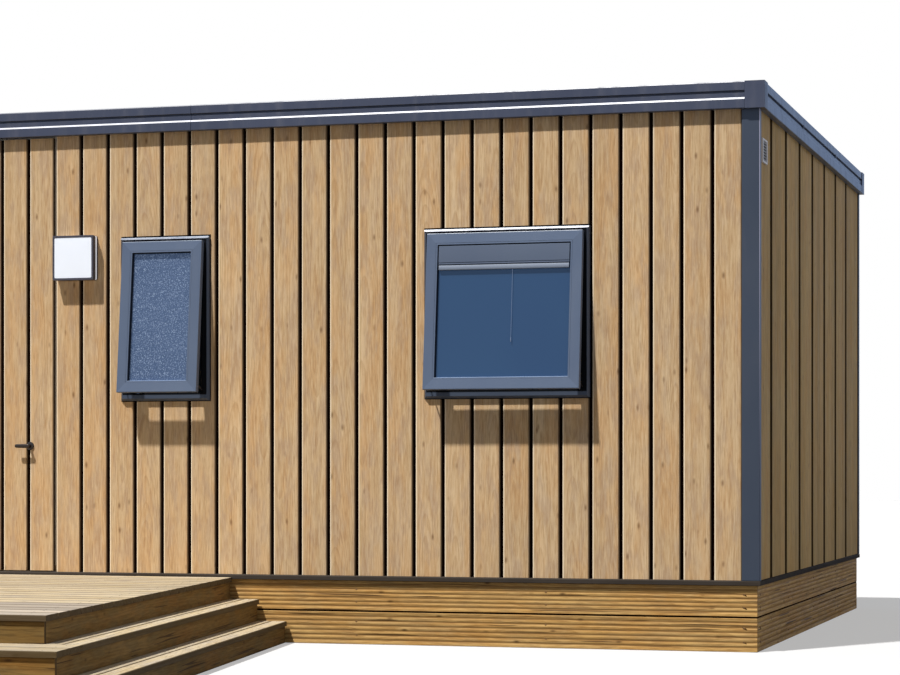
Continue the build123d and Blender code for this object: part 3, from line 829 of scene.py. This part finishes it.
# Fixed frames: a painted lip whose outer edge slopes, so that rain runs off its head, round a black seal
# whose black also serves as painted shade.
lip_section = [
    (0.0, window_back), (0.0, 0.016), (0.001, 0.0175), (0.0125, 0.0245), (0.0135, window_proud),
    (frame_lip, window_proud), (frame_lip, window_back),
]
foot_section = [(inset, min(out, 0.006 + 1.5 * inset)) for inset, out in lip_section]
seal_section = [(frame_lip + 0.0002, window_back), (frame_lip + 0.0002, 0.0235), (frame_bar, 0.0235),
                (frame_bar, window_back)]
# Sashes: a flat bar, a fine joint, and a bead that slopes down to the glass
glass_face = sash_t - glass_set
flat = sash_bar - bead_w
bar_section = [(0.0, 0.0), (0.0, 0.0315), (0.001, 0.034), (0.0035, sash_t), (flat - 0.001, sash_t),
               (flat, 0.0338), (flat, 0.0)]
reveal = sash_bar - 0.0048
bead_section = [
    (flat + 0.0003, 0.002), (flat + 0.0003, 0.0336), (flat + 0.001, 0.0343), (reveal - 0.0012, 0.0343),
    (reveal - 0.0002, 0.0336), (reveal - 0.0002, 0.002),
]
reveal_section = [(reveal, 0.002), (reveal, 0.0334), (sash_bar - 0.0005, glass_face + 0.0012),
                  (sash_bar, glass_face + 0.0003), (sash_bar, 0.002)]
hinge_z = window_head - sash_head


def leaned(wall):
    """On a sash hung at its head: x, depth from its back and height below its hinge, turned open."""
    def place(x, depth, height):
        u = window_proud + depth * math.cos(sash_open) - height * math.sin(sash_open)
        z = hinge_z + height * math.cos(sash_open) + depth * math.sin(sash_open)
        return wall(x, u, z)
    return place


sash_h = window_head - window_foot - sash_head - sash_foot
# Tones of four bars, from the foot round by the right; on the fixed frames' lips the foot and sides are
# darkened as painted shade, and on the bead reveals the foot is lightened as a painted highlight and the
# other bars darkened as painted shade
lip_shade_tones = (-1.2, -1.9, 0.75, -1.4)
lip_foot_shade = -1.3
reveal_light_shade_tones = (6.0, -2.4, -2.4, -2.4)


def glint_run(stock, wall, start, end, x0, x1):
    """A thin strip along x painted as a bright highlight, from start to end across, both as (out, height)."""
    start, end = np.array(start), np.array(end)
    out, up = (end - start) / math.dist(start, end) * 0.0005
    side = np.array([-up, out])
    along_x(stock, wall, [start - side, end - side, end + side, start + side], x0, x1)


def window_set(size, places, width, glint_paint):
    """The windows of one size on both long walls."""
    lips, strips, seals, bars, beads, reveals = (Stock() for k in range(6))
    half = width / 2 - sash_side
    for wall in (front, back):
        for x in places:
            x0, x1 = x - width / 2, x + width / 2
            edges = (x0, x1, window_foot, window_head)
            mitred(lips, wall, lip_section, *edges, tones=lip_shade_tones, foot=foot_section)
            mitred(seals, wall, seal_section, *edges)
            box_block(lips, level(wall), window_foot + frame_lip, window_foot + 0.036, 0.0236, window_proud,
                      x0 + frame_lip, x1 - frame_lip, board=dict(plain_board, tone=lip_foot_shade))
            # A painted highlight along the frame's sloped head.
            glint_run(strips, wall, (0.0193, window_head - 0.0036), (0.0240, window_head - 0.0115),
                     x0 + 0.002, x1 - 0.002)
            sash = (x - half, x + half, -sash_h, 0.0)
            mitred(bars, leaned(wall), bar_section, *sash)
            mitred(beads, leaned(wall), bead_section, *sash)
            mitred(reveals, leaned(wall), reveal_section, *sash, tones=reveal_light_shade_tones)
    flat_bars = 14
    lips.piece(f"{size}_fixed_frames", window_blue, "window_paint", f"{size}_window_frames", smooth=flat_bars)
    strips.piece(f"{size}_glint_strips", glint_paint, "window_paint")
    seals.piece(f"{size}_frame_seals", seal_and_shade_black, "window_paint")
    bars.piece(f"{size}_sashes", window_blue, "window_paint", f"{size}_window_sashes", smooth=flat_bars)
    beads.piece(f"{size}_glazing_beads", window_blue, "window_paint", smooth=flat_bars)
    reveals.piece(f"{size}_bead_reveals", bead_blue, "window_paint", smooth=flat_bars)


window_set("large", (-large_x, large_x), large_w, glint_strip)
window_set("small", (-small_x, small_x), small_w, dull_glint)

# Inner profiles of the large sashes, which close into the fixed frames, black as painted shade in the opening
# round the sash
inner_section = [(0.022, -0.0003), (0.022, -0.021), (0.027, -0.026), (sash_bar - 0.003, -0.026),
                 (sash_bar - 0.001, -0.024), (sash_bar - 0.001, -0.0003)]
# Blind cassettes: a box, a bright sloping rail under it and a wand
cassette_half = large_w / 2 - sash_side - sash_bar
box_foot = -sash_bar - 0.115
rail_foot = -sash_bar - cassette_h
box_section = [
    (glass_face, -sash_bar), (0.028, -sash_bar), (0.0305, -sash_bar - 0.002), (0.031, -sash_bar - 0.006),
    (0.031, box_foot + 0.014), (0.0285, box_foot + 0.012), (0.0285, box_foot + 0.008),
    (0.031, box_foot + 0.006), (0.031, box_foot + 0.003), (0.028, box_foot), (glass_face, box_foot),
]
rail_section = [
    (glass_face, box_foot - 0.004), (0.0285, box_foot - 0.004), (0.0295, box_foot - 0.006),
    (0.0305, rail_foot + 0.004), (0.0285, rail_foot), (glass_face, rail_foot),
]
inners, boxes, rails, wands = Stock(), Stock(), Stock(), Stock()
wand_offset = 0.055
wand_depth = 0.022
wand_l = 0.41
wand_round = 0.0011 * circle[::3]
wand_levels = [(0.001, 1.0), (-wand_l, 1.0), (-wand_l - 0.001, 2.2), (-wand_l - 0.022, 2.5),
               (-wand_l - 0.027, 1.2)]
sash_half = large_w / 2 - sash_side
for wall in (front, back):
    for x in (-large_x, large_x):
        place = leaned(wall)
        mitred(inners, place, inner_section, x - sash_half, x + sash_half, -sash_h, 0.0)
        for stock, section, inset in ((boxes, box_section, 0.002), (rails, rail_section, 0.004)):
            along_x(stock, place, section, x - cassette_half + inset, x + cassette_half - inset)
        loft(wands, [place(x + wand_offset + k * wand_round[:, 0], wand_depth + k * wand_round[:, 1],
                           rail_foot + h + 0 * wand_round[:, 0]) for h, k in wand_levels])
inners.piece("large_sash_inners", seal_and_shade_black, "window_paint")
boxes.piece("blind_boxes", cassette_paint, "window_paint", "blind_cassettes")
rails.piece("blind_rails", rail_silver, "window_paint")
wands.piece("blind_wands", bright_steel, "dark_metal")


# Door leaf boards
leaf_foot, leaf_head = low("door_cladding").z, high("door_cladding").z
leaf_board_t = 0.018
leaf_cover_t = 0.022       # the boards and the membrane behind them
leaf = Stock()
for x0, x1 in grid(-door_half, door_boards):
    cut_board(leaf, front, x0, x1, leaf_foot, leaf_head, leaf_board_t, [], board_ease, board_edge_light)
leaf.piece("door_leaf_boards", oak, "oak_boards", "door_cladding", body="door")
leaf_back = Stock()
box_block(leaf_back, upright(front), low("door_cladding").x, high("door_cladding").x, -leaf_cover_t,
          -leaf_board_t, leaf_foot, leaf_head)
leaf_back.piece("door_membrane", membrane, "wall_panel", body="door")


# Roof edge, as (out, height)
h0 = fascia_foot
fascia_section = [
    (0.0, h0), (0.037, h0), (0.040, h0 + 0.003), (0.040, h0 + 0.052), (0.0342, h0 + 0.0625),
    (0.031, h0 + 0.0625), (0.031, h0 + 0.0895), (0.0295, h0 + 0.091), (0.020, h0 + 0.091),
    (0.020, h0 + 0.104), (0.0355, h0 + 0.104), (0.037, h0 + 0.1055), (0.037, h0 + 0.1515),
    (0.0345, h0 + 0.156), (0.032, fascia_head), (-0.060, fascia_head), (-0.060, roof_top), (0.0, roof_top),
]
cap_w = 0.075
seam_x = 1.39
seam = 0.0012
fascia_long, lip_glints = Stock(), Stock()
for wall in (front, back):
    lines = (-half_length + cap_w, -seam_x, seam_x, half_length - cap_w)
    for x0, x1 in zip(lines[:-1], lines[1:]):
        along_x(fascia_long, wall, fascia_section, x0 + seam, x1 - seam)
        # A painted highlight along the top of the fascia's lip.
        glint_run(lip_glints, wall, (0.0345, h0 + 0.0628), (0.0398, h0 + 0.0528), x0 + seam, x1 - seam)
fascia_long.piece("fascia_long_runs", slate, "slate_paint", "fascia_front", "fascia_back", smooth=14)
lip_glints.piece("fascia_lip_glints", glint_strip, "slate_paint")

fascia_short, clips = Stock(), Stock()
short_half = half_width - cap_w - seam
for wall in (right, left):
    along_x(fascia_short, wall, fascia_section, -short_half, short_half)
    for x in (-half_width / 3, half_width / 3):
        box_block(clips, upright(wall), x - 0.009, x + 0.009, 0.019, 0.0385, h0 + 0.088, h0 + 0.112, 0.001)
fascia_short.piece("fascia_end_runs", slate_sheen, "slate_paint", "fascia_ends", smooth=14)
clips.piece("fascia_clips", slate, "slate_paint")


def angle_outline(leg_l, leg_w, reach_out, core, radius):
    """An angle in plan round a corner at (0, 0): two legs and a rounded outer corner."""
    corner = arc(reach_out - radius, reach_out - radius, radius, 0, 90, 5)
    e = 0.0015
    return np.array([
        (-core, -leg_w), (reach_out - e, -leg_w), (reach_out, -leg_w + e), *corner,
        (-leg_l + e, reach_out), (-leg_l, reach_out - e), (-leg_l, -core), (-core, -core),
    ])


def corner_ring(sx, sy, out_x, out_y, z):
    """Points set out from the end wall and the long wall, at the corner with the signs sx and sy."""
    return np.stack([sx * (half_length + out_x), sy * (half_width + out_y), z + 0 * out_x], -1)


def at_corners(stock, outline, levels):
    for sx in (-1, 1):
        for sy in (-1, 1):
            loft(stock, [corner_ring(sx, sy, *outline.T, z) for z in levels])


posts = Stock()
at_corners(posts, angle_outline(post_w, post_side_w, 0.010, cladding_t, 0.006), (wall_foot, fascia_foot))
posts.piece("corner_angles", post_paint, "slate_paint", "corner_posts", smooth=25)
# Strips painted as the highlight on each corner post's rounded outer edge.
glints = Stock()
glint_line = np.concatenate([arc(0.004, 0.004, 0.0063, 15, 75, 5), arc(0.004, 0.004, 0.0056, 75, 15, 5)])
at_corners(glints, glint_line, (wall_foot + 0.001, fascia_foot - 0.001))
glints.piece("corner_edge_glints", edge_glint, "slate_paint")
caps = Stock()
cap_out = high("fascia_corners").x - half_length
at_corners(caps, angle_outline(cap_w, cap_w, cap_out, 0.0, 0.003), (fascia_foot, roof_top))
lid = np.array([(-cap_w, -cap_w), (cap_out, -cap_w), (cap_out, cap_out), (-cap_w, cap_out)])
at_corners(caps, lid, (roof_top, fascia_head))
caps.piece("fascia_caps", slate, "slate_paint", "fascia_corners", smooth=25)

# Sill trim, mitred round the building
trim_section = np.array([
    (-cladding_t, trim_foot), (trim_out - 0.002, trim_foot), (trim_out, trim_foot + 0.002),
    (trim_out, wall_foot - 0.007), (trim_out - 0.003, wall_foot - 0.003), (0.001, wall_foot - 0.0003),
    (-cladding_t, wall_foot - 0.0003),
])
out, height = trim_section.T
trim = Stock()
corner_signs = ((1, 1), (-1, 1), (-1, -1), (1, -1))
loft(trim, [corner_ring(sx, sy, out, out, height) for sx, sy in corner_signs], closed=True)
trim.piece("sill_trim_run", sill_paint, "slate_paint", "sill_trim")

# Roof sheet with ribs across the roof, between the edge flanges
rib_pitch, rib_top, rib_foot, rib_h = 0.25, 0.030, 0.060, 0.019
flange = 0.060
sheet_half = half_length - flange - 0.004
rib_x = np.arange(-sheet_half + rib_foot, sheet_half - rib_foot, rib_pitch)
crest = (rib_x[:, None] + np.array([-rib_foot, -rib_top, rib_top, rib_foot]) / 2).ravel()
crest_z = np.tile([0.0012, rib_h, rib_h, 0.0012], len(rib_x))
sheet_x = np.concatenate([[-sheet_half, -sheet_half], crest, [sheet_half, sheet_half]])
sheet_z = roof_top + np.concatenate([[0.0002, 0.0012], crest_z, [0.0012, 0.0002]])
sheet_y = half_width - flange - 0.004
ribs = Stock()
loft(ribs, [np.stack([sheet_x, y + 0 * sheet_x, sheet_z], -1) for y in (-sheet_y, sheet_y)])
ribs.piece("roof_ribs", roof_paint, "roof_sheet")


# Skirt of grooved boards
def grooved_section(width, thick, count, groove_w=0.012, groove_d=0.0018, margin=0.026):
    """A board whose face has count grooves with sloping sides, evenly spaced between the margins."""
    points = [(0.0, -thick), (0.0, -0.002), (0.002, 0.0)]
    groove = ((-0.5, 0), (-0.25, 1), (0.25, 1), (0.5, 0))
    for place in np.linspace(margin, width - margin, count):
        points += [(place + x * groove_w, -y * groove_d) for x, y in groove]
    return np.array(points + [(width - 0.002, 0.0), (width, -0.002), (width, -thick)])


skirt_set = half_length - skirt_half_l
skirt_t = 0.020
skirt_rows = ((0.0, 0.195), (0.205, trim_foot))
skirt_joint = 0.001
tongue_back, tongue_face = -0.018, -0.011
screw_inset = 0.08
screw_pitch = 1.2
screw_points = []
skirt, tongues = Stock(), Stock()


def skirt_wall(wall, limits):
    """Two rows of boards between the limits, a tongue behind the joint of the rows, and screw places."""
    def set_back(x, u, z):
        return wall(x, u - skirt_set, z)
    box_block(tongues, level(set_back), skirt_rows[0][1] + 0.0003, skirt_rows[1][0] - 0.0003, tongue_back,
              tongue_face, limits[0] + 0.002, limits[-1] - 0.002)
    for foot, head in skirt_rows:
        section = grooved_section(head - foot, skirt_t, 6)
        for x0, x1 in zip(limits[:-1], limits[1:]):
            run(skirt, level(set_back), section, (x0 + skirt_joint, x1 - skirt_joint), first=foot,
                middle=(foot + head) / 2, board=new_board(0.006))
            count = 1 + round((x1 - x0 - 2 * screw_inset) / screw_pitch)
            for x in np.linspace(x0 + screw_inset, x1 - screw_inset, count):
                near_end = min(x - limits[0], limits[-1] - x) < 0.1
                for share in (0.29, 0.71):
                    screw_points.append((set_back, x, foot + share * (head - foot), near_end))


skirt_side = half_width - skirt_set - skirt_t - 0.0005
for wall in (front, back):
    skirt_wall(wall, (-skirt_half_l, 0.0, skirt_half_l))
for wall in (right, left):
    skirt_wall(wall, (-skirt_side, skirt_side))
skirt.piece("grooved_skirt", pine, "skirt_timber", "skirt_boards")
# The tongues are black as painted shade in the joint between the rows.
tongues.piece("skirt_tongues", membrane, "skirt_timber")

# Screw heads, and near the ends of a wall slanting splits beside them
screws, splits = Stock(), Stock()
slant = math.radians(-32)
turned = np.array([(math.cos(slant), math.sin(slant)), (-math.sin(slant), math.cos(slant))])
oval = circle * (0.017, 0.0048) @ turned
for wall, x, z, near_end in screw_points:
    stepped(screws, wall, x, z, circle[::2] * 0.0065,
            [(1.0, -0.006), (1.0, 0.0004), (0.8, 0.0009), (0.35, 0.0009), (0.25, -0.0008)])
    if near_end:
        size = draw.uniform(0.7, 1.3)
        stepped(splits, wall, x + 0.006, z - 0.003, oval * size, [(1.0, -0.006), (1.0, 0.0002)])
screws.piece("skirt_screws", screw_coat, "dark_metal")
splits.piece("skirt_screw_splits", split_dark, "skirt_timber")


# Deck and steps
def wide(half, u):
    """Half the width of a level at u out from the wall, when it is half wide at its back."""
    return half + (u - deck_back) * flare


def deck_run(z, half):
    """Boards along the wall whose ends follow the flared sides: across is u, along is -1 to 1."""
    return lambda across, face, along: front(along * wide(half, across), across, z + face)


def side_run(z, half, sign):
    """Boards beside a flared side: across is out from it, along is u."""
    return lambda across, face, along: front(sign * (wide(half, along) + across), along, z + face)


def deck_screws(stock, z, xs, us):
    """Screw heads on a level at height z, at every x and u."""
    def on_level(x, up, u):
        return front(x, u, z + up)
    for x in xs:
        for u in us:
            stepped(stock, on_level, x, u, circle[::3] * 0.0045,
                    [(1.0, -0.004), (1.0, 0.0001), (0.75, 0.0005), (0.3, -0.0004)])


deck_pitch = 0.185
deck_gap = 0.007
head_half = 1.52           # outermost screw heads at the back, from the middle
head_inset = 0.04          # from the edges of a board
grey_from = deck_front - 4.5 * deck_pitch
boards, deck_heads = Stock(), Stock()
lines = np.linspace(deck_back, deck_front, round((deck_front - deck_back) / deck_pitch) + 1)
for u0, u1 in zip(lines[:-1], lines[1:]):
    high_edge = u1 if u1 > deck_front - 1e-6 else u1 - deck_gap
    board = new_board(0.008)
    board["seed"] = board["seed"] * 0.7 if u1 < grey_from else 0.8 + board["seed"] * 0.2
    # Edges and ends darkened as painted shade, for the shade in the gaps between the boards.
    plank(boards, deck_run(deck_top, deck_half), u0, high_edge, -1.0, 1.0, deck_t, (0.004, 0.005),
          (-0.6, -1.0), guard=0.010, board=board, scale=2.0, dark_ends=0.002)
    joist_x = np.linspace(-1, 1, 7) * wide(head_half, (u0 + high_edge) / 2)
    deck_screws(deck_heads, deck_top, joist_x, (u0 + head_inset, high_edge - head_inset))
boards.piece("deck_planks", deck_pale, "deck_timber", "deck_boards")


def risers(stock, half, front_line, head, rows):
    """Boards on edge round three sides, from the ground to head, with a fine joint between rows."""
    cuts = np.linspace(0.0, head, rows + 1)
    # Edges darkened as painted shade, for the shade in the joints between the boards.
    form = {"thick": riser_t, "ease": (0.002, 0.002), "edge": (-0.6, -0.6)}

    def ahead(across, face, along):
        return front(along * wide(half, front_line + face), front_line + face, across)
    for z0, z1 in zip(cuts[:-1], cuts[1:]):
        z1 = z1 - (0.003 if z1 < head - 1e-6 else 0.0)
        plank(stock, ahead, z0, z1, -1.0, 1.0, board=new_board(0.006), scale=2.0, **form)
        for sign in (-1, 1):
            def beside(across, face, along, sign=sign):
                return front(sign * (wide(half, along) + face), along, across)
            plank(stock, beside, z0, z1, deck_back, front_line - riser_t - 0.0005, board=new_board(0.006),
                  **form)


def tread_board():
    board = new_board(0.008)
    board["seed"] *= 0.7
    return board


def two_boards(first, width, joint=0.004):
    """The edges of two boards side by side, with a joint between them."""
    middle = first + width / 2
    return (first, middle - joint), (middle, first + width)


def treads(stock, heads, z, half, front_line, side_w, front_w):
    """Two boards round three sides, and their screws."""
    # Edges and ends darkened as painted shade, for the shade in the gaps between the boards.
    form = {"thick": deck_t, "ease": (0.003, 0.004), "edge": (-0.6, -0.95), "guard": 0.007}
    for (a0, a1), (b0, b1) in zip(two_boards(0.0, side_w), two_boards(front_line, front_w)):
        for sign in (-1, 1):
            plank(stock, side_run(z, half, sign), a0, a1, deck_back, front_line - 0.0005, board=tread_board(),
                  **form)
            for u in np.linspace(deck_back + 0.08, front_line - 0.08, 7):
                deck_screws(heads, z, [sign * (wide(half, u) + (a0 + a1) / 2)], [u])
        plank(stock, deck_run(z, half + side_w), b0, b1, -1.0, 1.0, board=tread_board(), scale=2.5,
              dark_ends=0.002, **form)
        middle = (b0 + b1) / 2
        reach = wide(half, b0) + side_w - 0.06
        deck_screws(heads, z, np.linspace(-1, 1, 9) * reach, (middle - 0.05, middle + 0.05))


edge_half = deck_half - nosing
edge_line = deck_front - nosing
edge_boards = Stock()
risers(edge_boards, edge_half, edge_line, deck_top - deck_t, 3)
edge_boards.piece("deck_edge_boards", riser_brown, "deck_timber", "deck_edges")
for step, name in ((1, "middle"), (2, "lower")):
    half = edge_half + (step - 1) * side_tread
    line = edge_line + (step - 1) * front_tread
    top = deck_top - step * step_rise
    flats, stands = Stock(), Stock()
    treads(flats, deck_heads, top, half, line, side_tread + nosing, front_tread + nosing)
    flats.piece(f"{name}_treads", deck_pale, "deck_timber", f"{name}_step")
    risers(stands, half + side_tread, line + front_tread, top - deck_t, 3 - step)
    stands.piece(f"{name}_risers", riser_brown, "deck_timber")
deck_heads.piece("deck_screws", dark_steel, "dark_metal")

# Lamp: back plate, pale neck whose glow is painted light on its shaded side, dark front box with an opal face
lamp_low, lamp_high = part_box("lamp_housing")
lamp_x, lamp_z = (lamp_low.x + lamp_high.x) / 2, (lamp_low.z + lamp_high.z) / 2
lamp_half = (lamp_high.x - lamp_low.x) / 2
lamp_d = lamp_high.y - lamp_low.y
face_half = (high("lamp_diffuser").x - low("lamp_diffuser").x) / 2
mouth = face_half / lamp_half
plate = (lamp_half - 0.002) / lamp_half
square = rounded_square(1.0, 0.06)
dome = [(1 - 0.94 * t, lamp_d - 0.002 + 0.0019 * math.sin(t * math.pi / 2)) for t in np.linspace(0, 1, 9)]
housing, neck, lens = Stock(), Stock(), Stock()
for stock, half, levels in (
    (housing, lamp_half, [(plate, 0.0002), (plate, 0.011), (plate - 0.008, 0.012)]),
    (housing, lamp_half, [(0.98, 0.034), (1.0, 0.036), (1.0, lamp_d - 0.003), (0.99, lamp_d),
                          (mouth + 0.004, lamp_d), (mouth, lamp_d - 0.002), (mouth, 0.037), (0.5, 0.0365)]),
    (neck, lamp_half, [(0.978, 0.012), (0.978, 0.034)]),
    (lens, face_half - 0.0006, [(1.0, 0.040), (1.0, lamp_d - 0.003), *dome]),
):
    stepped(stock, front, lamp_x, lamp_z, square * half, levels)
housing.piece("lamp_box", lamp_dark, "lamp_paint", "lamp_housing")
neck.piece("lamp_neck", glowing_neck, "lamp_white")
lens.piece("lamp_lens", opal, "lamp_white", "lamp_diffuser")

# Wall vents: a rim and louvres over a black sheet, painted shade for the dark inside of the mouth
vent_foot, vent_head = low("end_wall_vents").z, high("end_wall_vents").z
vent_w = 0.155
vent_inset = 0.101         # from the front face of the boards
vent_x = half_width - vent_inset - vent_w / 2
border = 0.013
inner = vent_w / 2 - border
rim_section = [(0.0, 0.0), (0.0, 0.008), (0.0015, 0.0098), (border - 0.002, 0.0098), (border, 0.008),
               (border, 0.0)]
slat_section = np.array([(-0.0075, 0.0072), (-0.0065, 0.0085), (0.007, 0.0035), (0.006, 0.0022)])
vent_rims, slats, mouths = Stock(), Stock(), Stock()
for wall, x in ((right, -vent_x), (left, vent_x)):
    mitred(vent_rims, wall, rim_section, x - vent_w / 2, x + vent_w / 2, vent_foot, vent_head)
    for z in np.linspace(vent_foot + border + 0.008, vent_head - border - 0.008, 7):
        run(slats, level(wall), slat_section, (x - inner, x + inner), first=z)
    box_block(mouths, upright(wall), x - inner, x + inner, 0.0, 0.0018, vent_foot + border,
              vent_head - border)
vent_rims.piece("vent_louvres", vent_white, "vent_plastic", "end_wall_vents")
slats.piece("vent_slats", vent_grey, "vent_plastic")
mouths.piece("vent_mouths", membrane, "vent_plastic")

# Lever handle: on each face of the leaf a rose, and a neck that turns into a tapering lever
rose_low, rose_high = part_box("handle_roses")
lever_x, lever_z = (rose_low.x + rose_high.x) / 2, (rose_low.z + rose_high.z) / 2
rose_r = rose_high.z - lever_z
core_back = -(high("door_core").y + half_width)
lever_t = 0.012
lever_h = 0.026
lever_proud = 0.048        # from the door's face to the lever's own
lever_line = lever_proud - lever_t / 2
neck_r = 0.009
spindle_r = 0.005
lever_tip = lever_x - low("lever_handle").x
rose_levels = [(1.0, 0.0), (1.0, 0.006), (0.94, 0.0085), (0.42, 0.009), (0.39, 0.0085), (0.39, 0.001)]
bar_x = np.array([-lever_tip, 0.0015 - lever_tip, 0.006 - lever_tip, -0.065, -0.03, 0.0, 0.007, 0.0115,
                  0.013])
bar_swell = np.array([0.35, 0.62, 0.84, 0.93, 0.98, 1.0, 0.88, 0.62, 0.3])
tall, deep = lever_h / 2 * bar_swell, lever_t / 2 * np.minimum(bar_swell * 1.15, 1.0)
bar_round = rounded_square(1.0, 0.75, 4)[None]
roses, lever = Stock(), Stock()
for face, sign in ((0.0, 1), (core_back, -1)):
    stepped(roses, front, lever_x, lever_z, circle * rose_r, [(s, face + sign * u) for s, u in rose_levels])
    stepped(lever, front, lever_x, lever_z, circle * neck_r,
            [(1.0, face + sign * 0.0012), (1.0, face + sign * lever_line)])
    loft(lever, front(lever_x + bar_x[:, None] + 0 * bar_round[..., 0],
                      face + sign * (lever_line + deep[:, None] * bar_round[..., 0]),
                      lever_z + tall[:, None] * bar_round[..., 1]))
stepped(lever, front, lever_x, lever_z, circle * spindle_r, [(1.0, core_back - 0.0012), (1.0, 0.0012)])
roses.piece("lever_roses", rose_metal, "dark_metal", "handle_roses", body="door")
lever.piece("door_lever", lever_metal, "dark_metal", "lever_handle", body="handle")


# Floor, light and camera
def seen_directly(tree):
    """1 for rays from the camera or through glass."""
    path = tree.nodes.new("ShaderNodeLightPath").outputs
    return calc(tree, "MAXIMUM", path["Is Camera Ray"], path["Is Transmission Ray"])


def studio_floor():
    """A floor that the camera and glass see as near white with the object's shadow, and light as grey."""
    material = bpy.data.materials.new("studio_floor")
    material.use_nodes = True
    tree = material.node_tree
    tree.nodes.clear()
    base = put(tree, "ShaderNodeBsdfDiffuse", {"Color": (0.16, 0.16, 0.16, 1)})
    pale = put(tree, "ShaderNodeBsdfDiffuse", {"Color": (0.37, 0.37, 0.375, 1)})
    glow = put(tree, "ShaderNodeEmission", {"Color": (1, 1, 1, 1), "Strength": 0.38})
    both = put(tree, "ShaderNodeAddShader", {0: pale.outputs[0], 1: glow.outputs[0]})
    mix = put(tree, "ShaderNodeMixShader", {0: seen_directly(tree), 1: base.outputs[0], 2: both.outputs[0]})
    put(tree, "ShaderNodeOutputMaterial", {"Surface": mix.outputs[0]})
    return material


floor_mesh = bpy.data.meshes.new("studio_floor")
floor_reach = 60.0
floor_mesh.from_pydata([(sx * floor_reach, sy * floor_reach, -0.001)
                        for sx, sy in ((-1, -1), (1, -1), (1, 1), (-1, 1))], [], [(0, 1, 2, 3)])
floor_mesh.materials.append(studio_floor())
studio = bpy.data.objects.new("studio_floor", floor_mesh)
bpy.context.scene.collection.objects.link(studio)

world = bpy.data.worlds.new("studio")
bpy.context.scene.world = world
world.use_nodes = True
world.node_tree.nodes.clear()
tree = world.node_tree
glossy = tree.nodes.new("ShaderNodeLightPath").outputs["Is Glossy Ray"]
sky = layered(tree, (0.18, 0.182, 0.188, 1), (glossy, (0.42, 0.56, 0.84, 1)),
              (seen_directly(tree), (1, 1, 1, 1)))
background = put(tree, "ShaderNodeBackground", {"Color": sky, "Strength": 1.0})
put(tree, "ShaderNodeOutputWorld", {"Surface": background.outputs[0]})


# The key light travels to the right, into the wall and steeply down; a soft fill reaches the end wall
def sun(name, way, strength, angle, colour):
    light = bpy.data.objects.new(name, bpy.data.lights.new(name, "SUN"))
    light.data.energy = strength
    light.data.angle = math.radians(angle)
    light.data.color = colour
    light.rotation_mode = "QUATERNION"
    light.rotation_quaternion = Vector(way).to_track_quat("-Z", "Y")
    bpy.context.scene.collection.objects.link(light)


sun("key_light", (0.6, 1.0, -2.2), 5.3, 2.0, (1.0, 0.985, 0.95))
sun("fill_light", (-0.9, 0.15, -0.4), 0.54, 80, (0.95, 0.97, 1.0))

camera = bpy.data.objects.new("camera", bpy.data.cameras.new("camera"))
bpy.context.scene.collection.objects.link(camera)
camera.location = (7.2187, -15.780, 1.072)
camera.rotation_euler = (math.radians(90), 0, math.radians(15.3895))
camera.data.sensor_width = 36
camera.data.lens = 94.706
camera.data.shift_x = -0.07938
camera.data.shift_y = 0.14387
camera.data.clip_end = 200
bpy.context.scene.camera = camera
bpy.context.scene.view_settings.view_transform = "Standard"
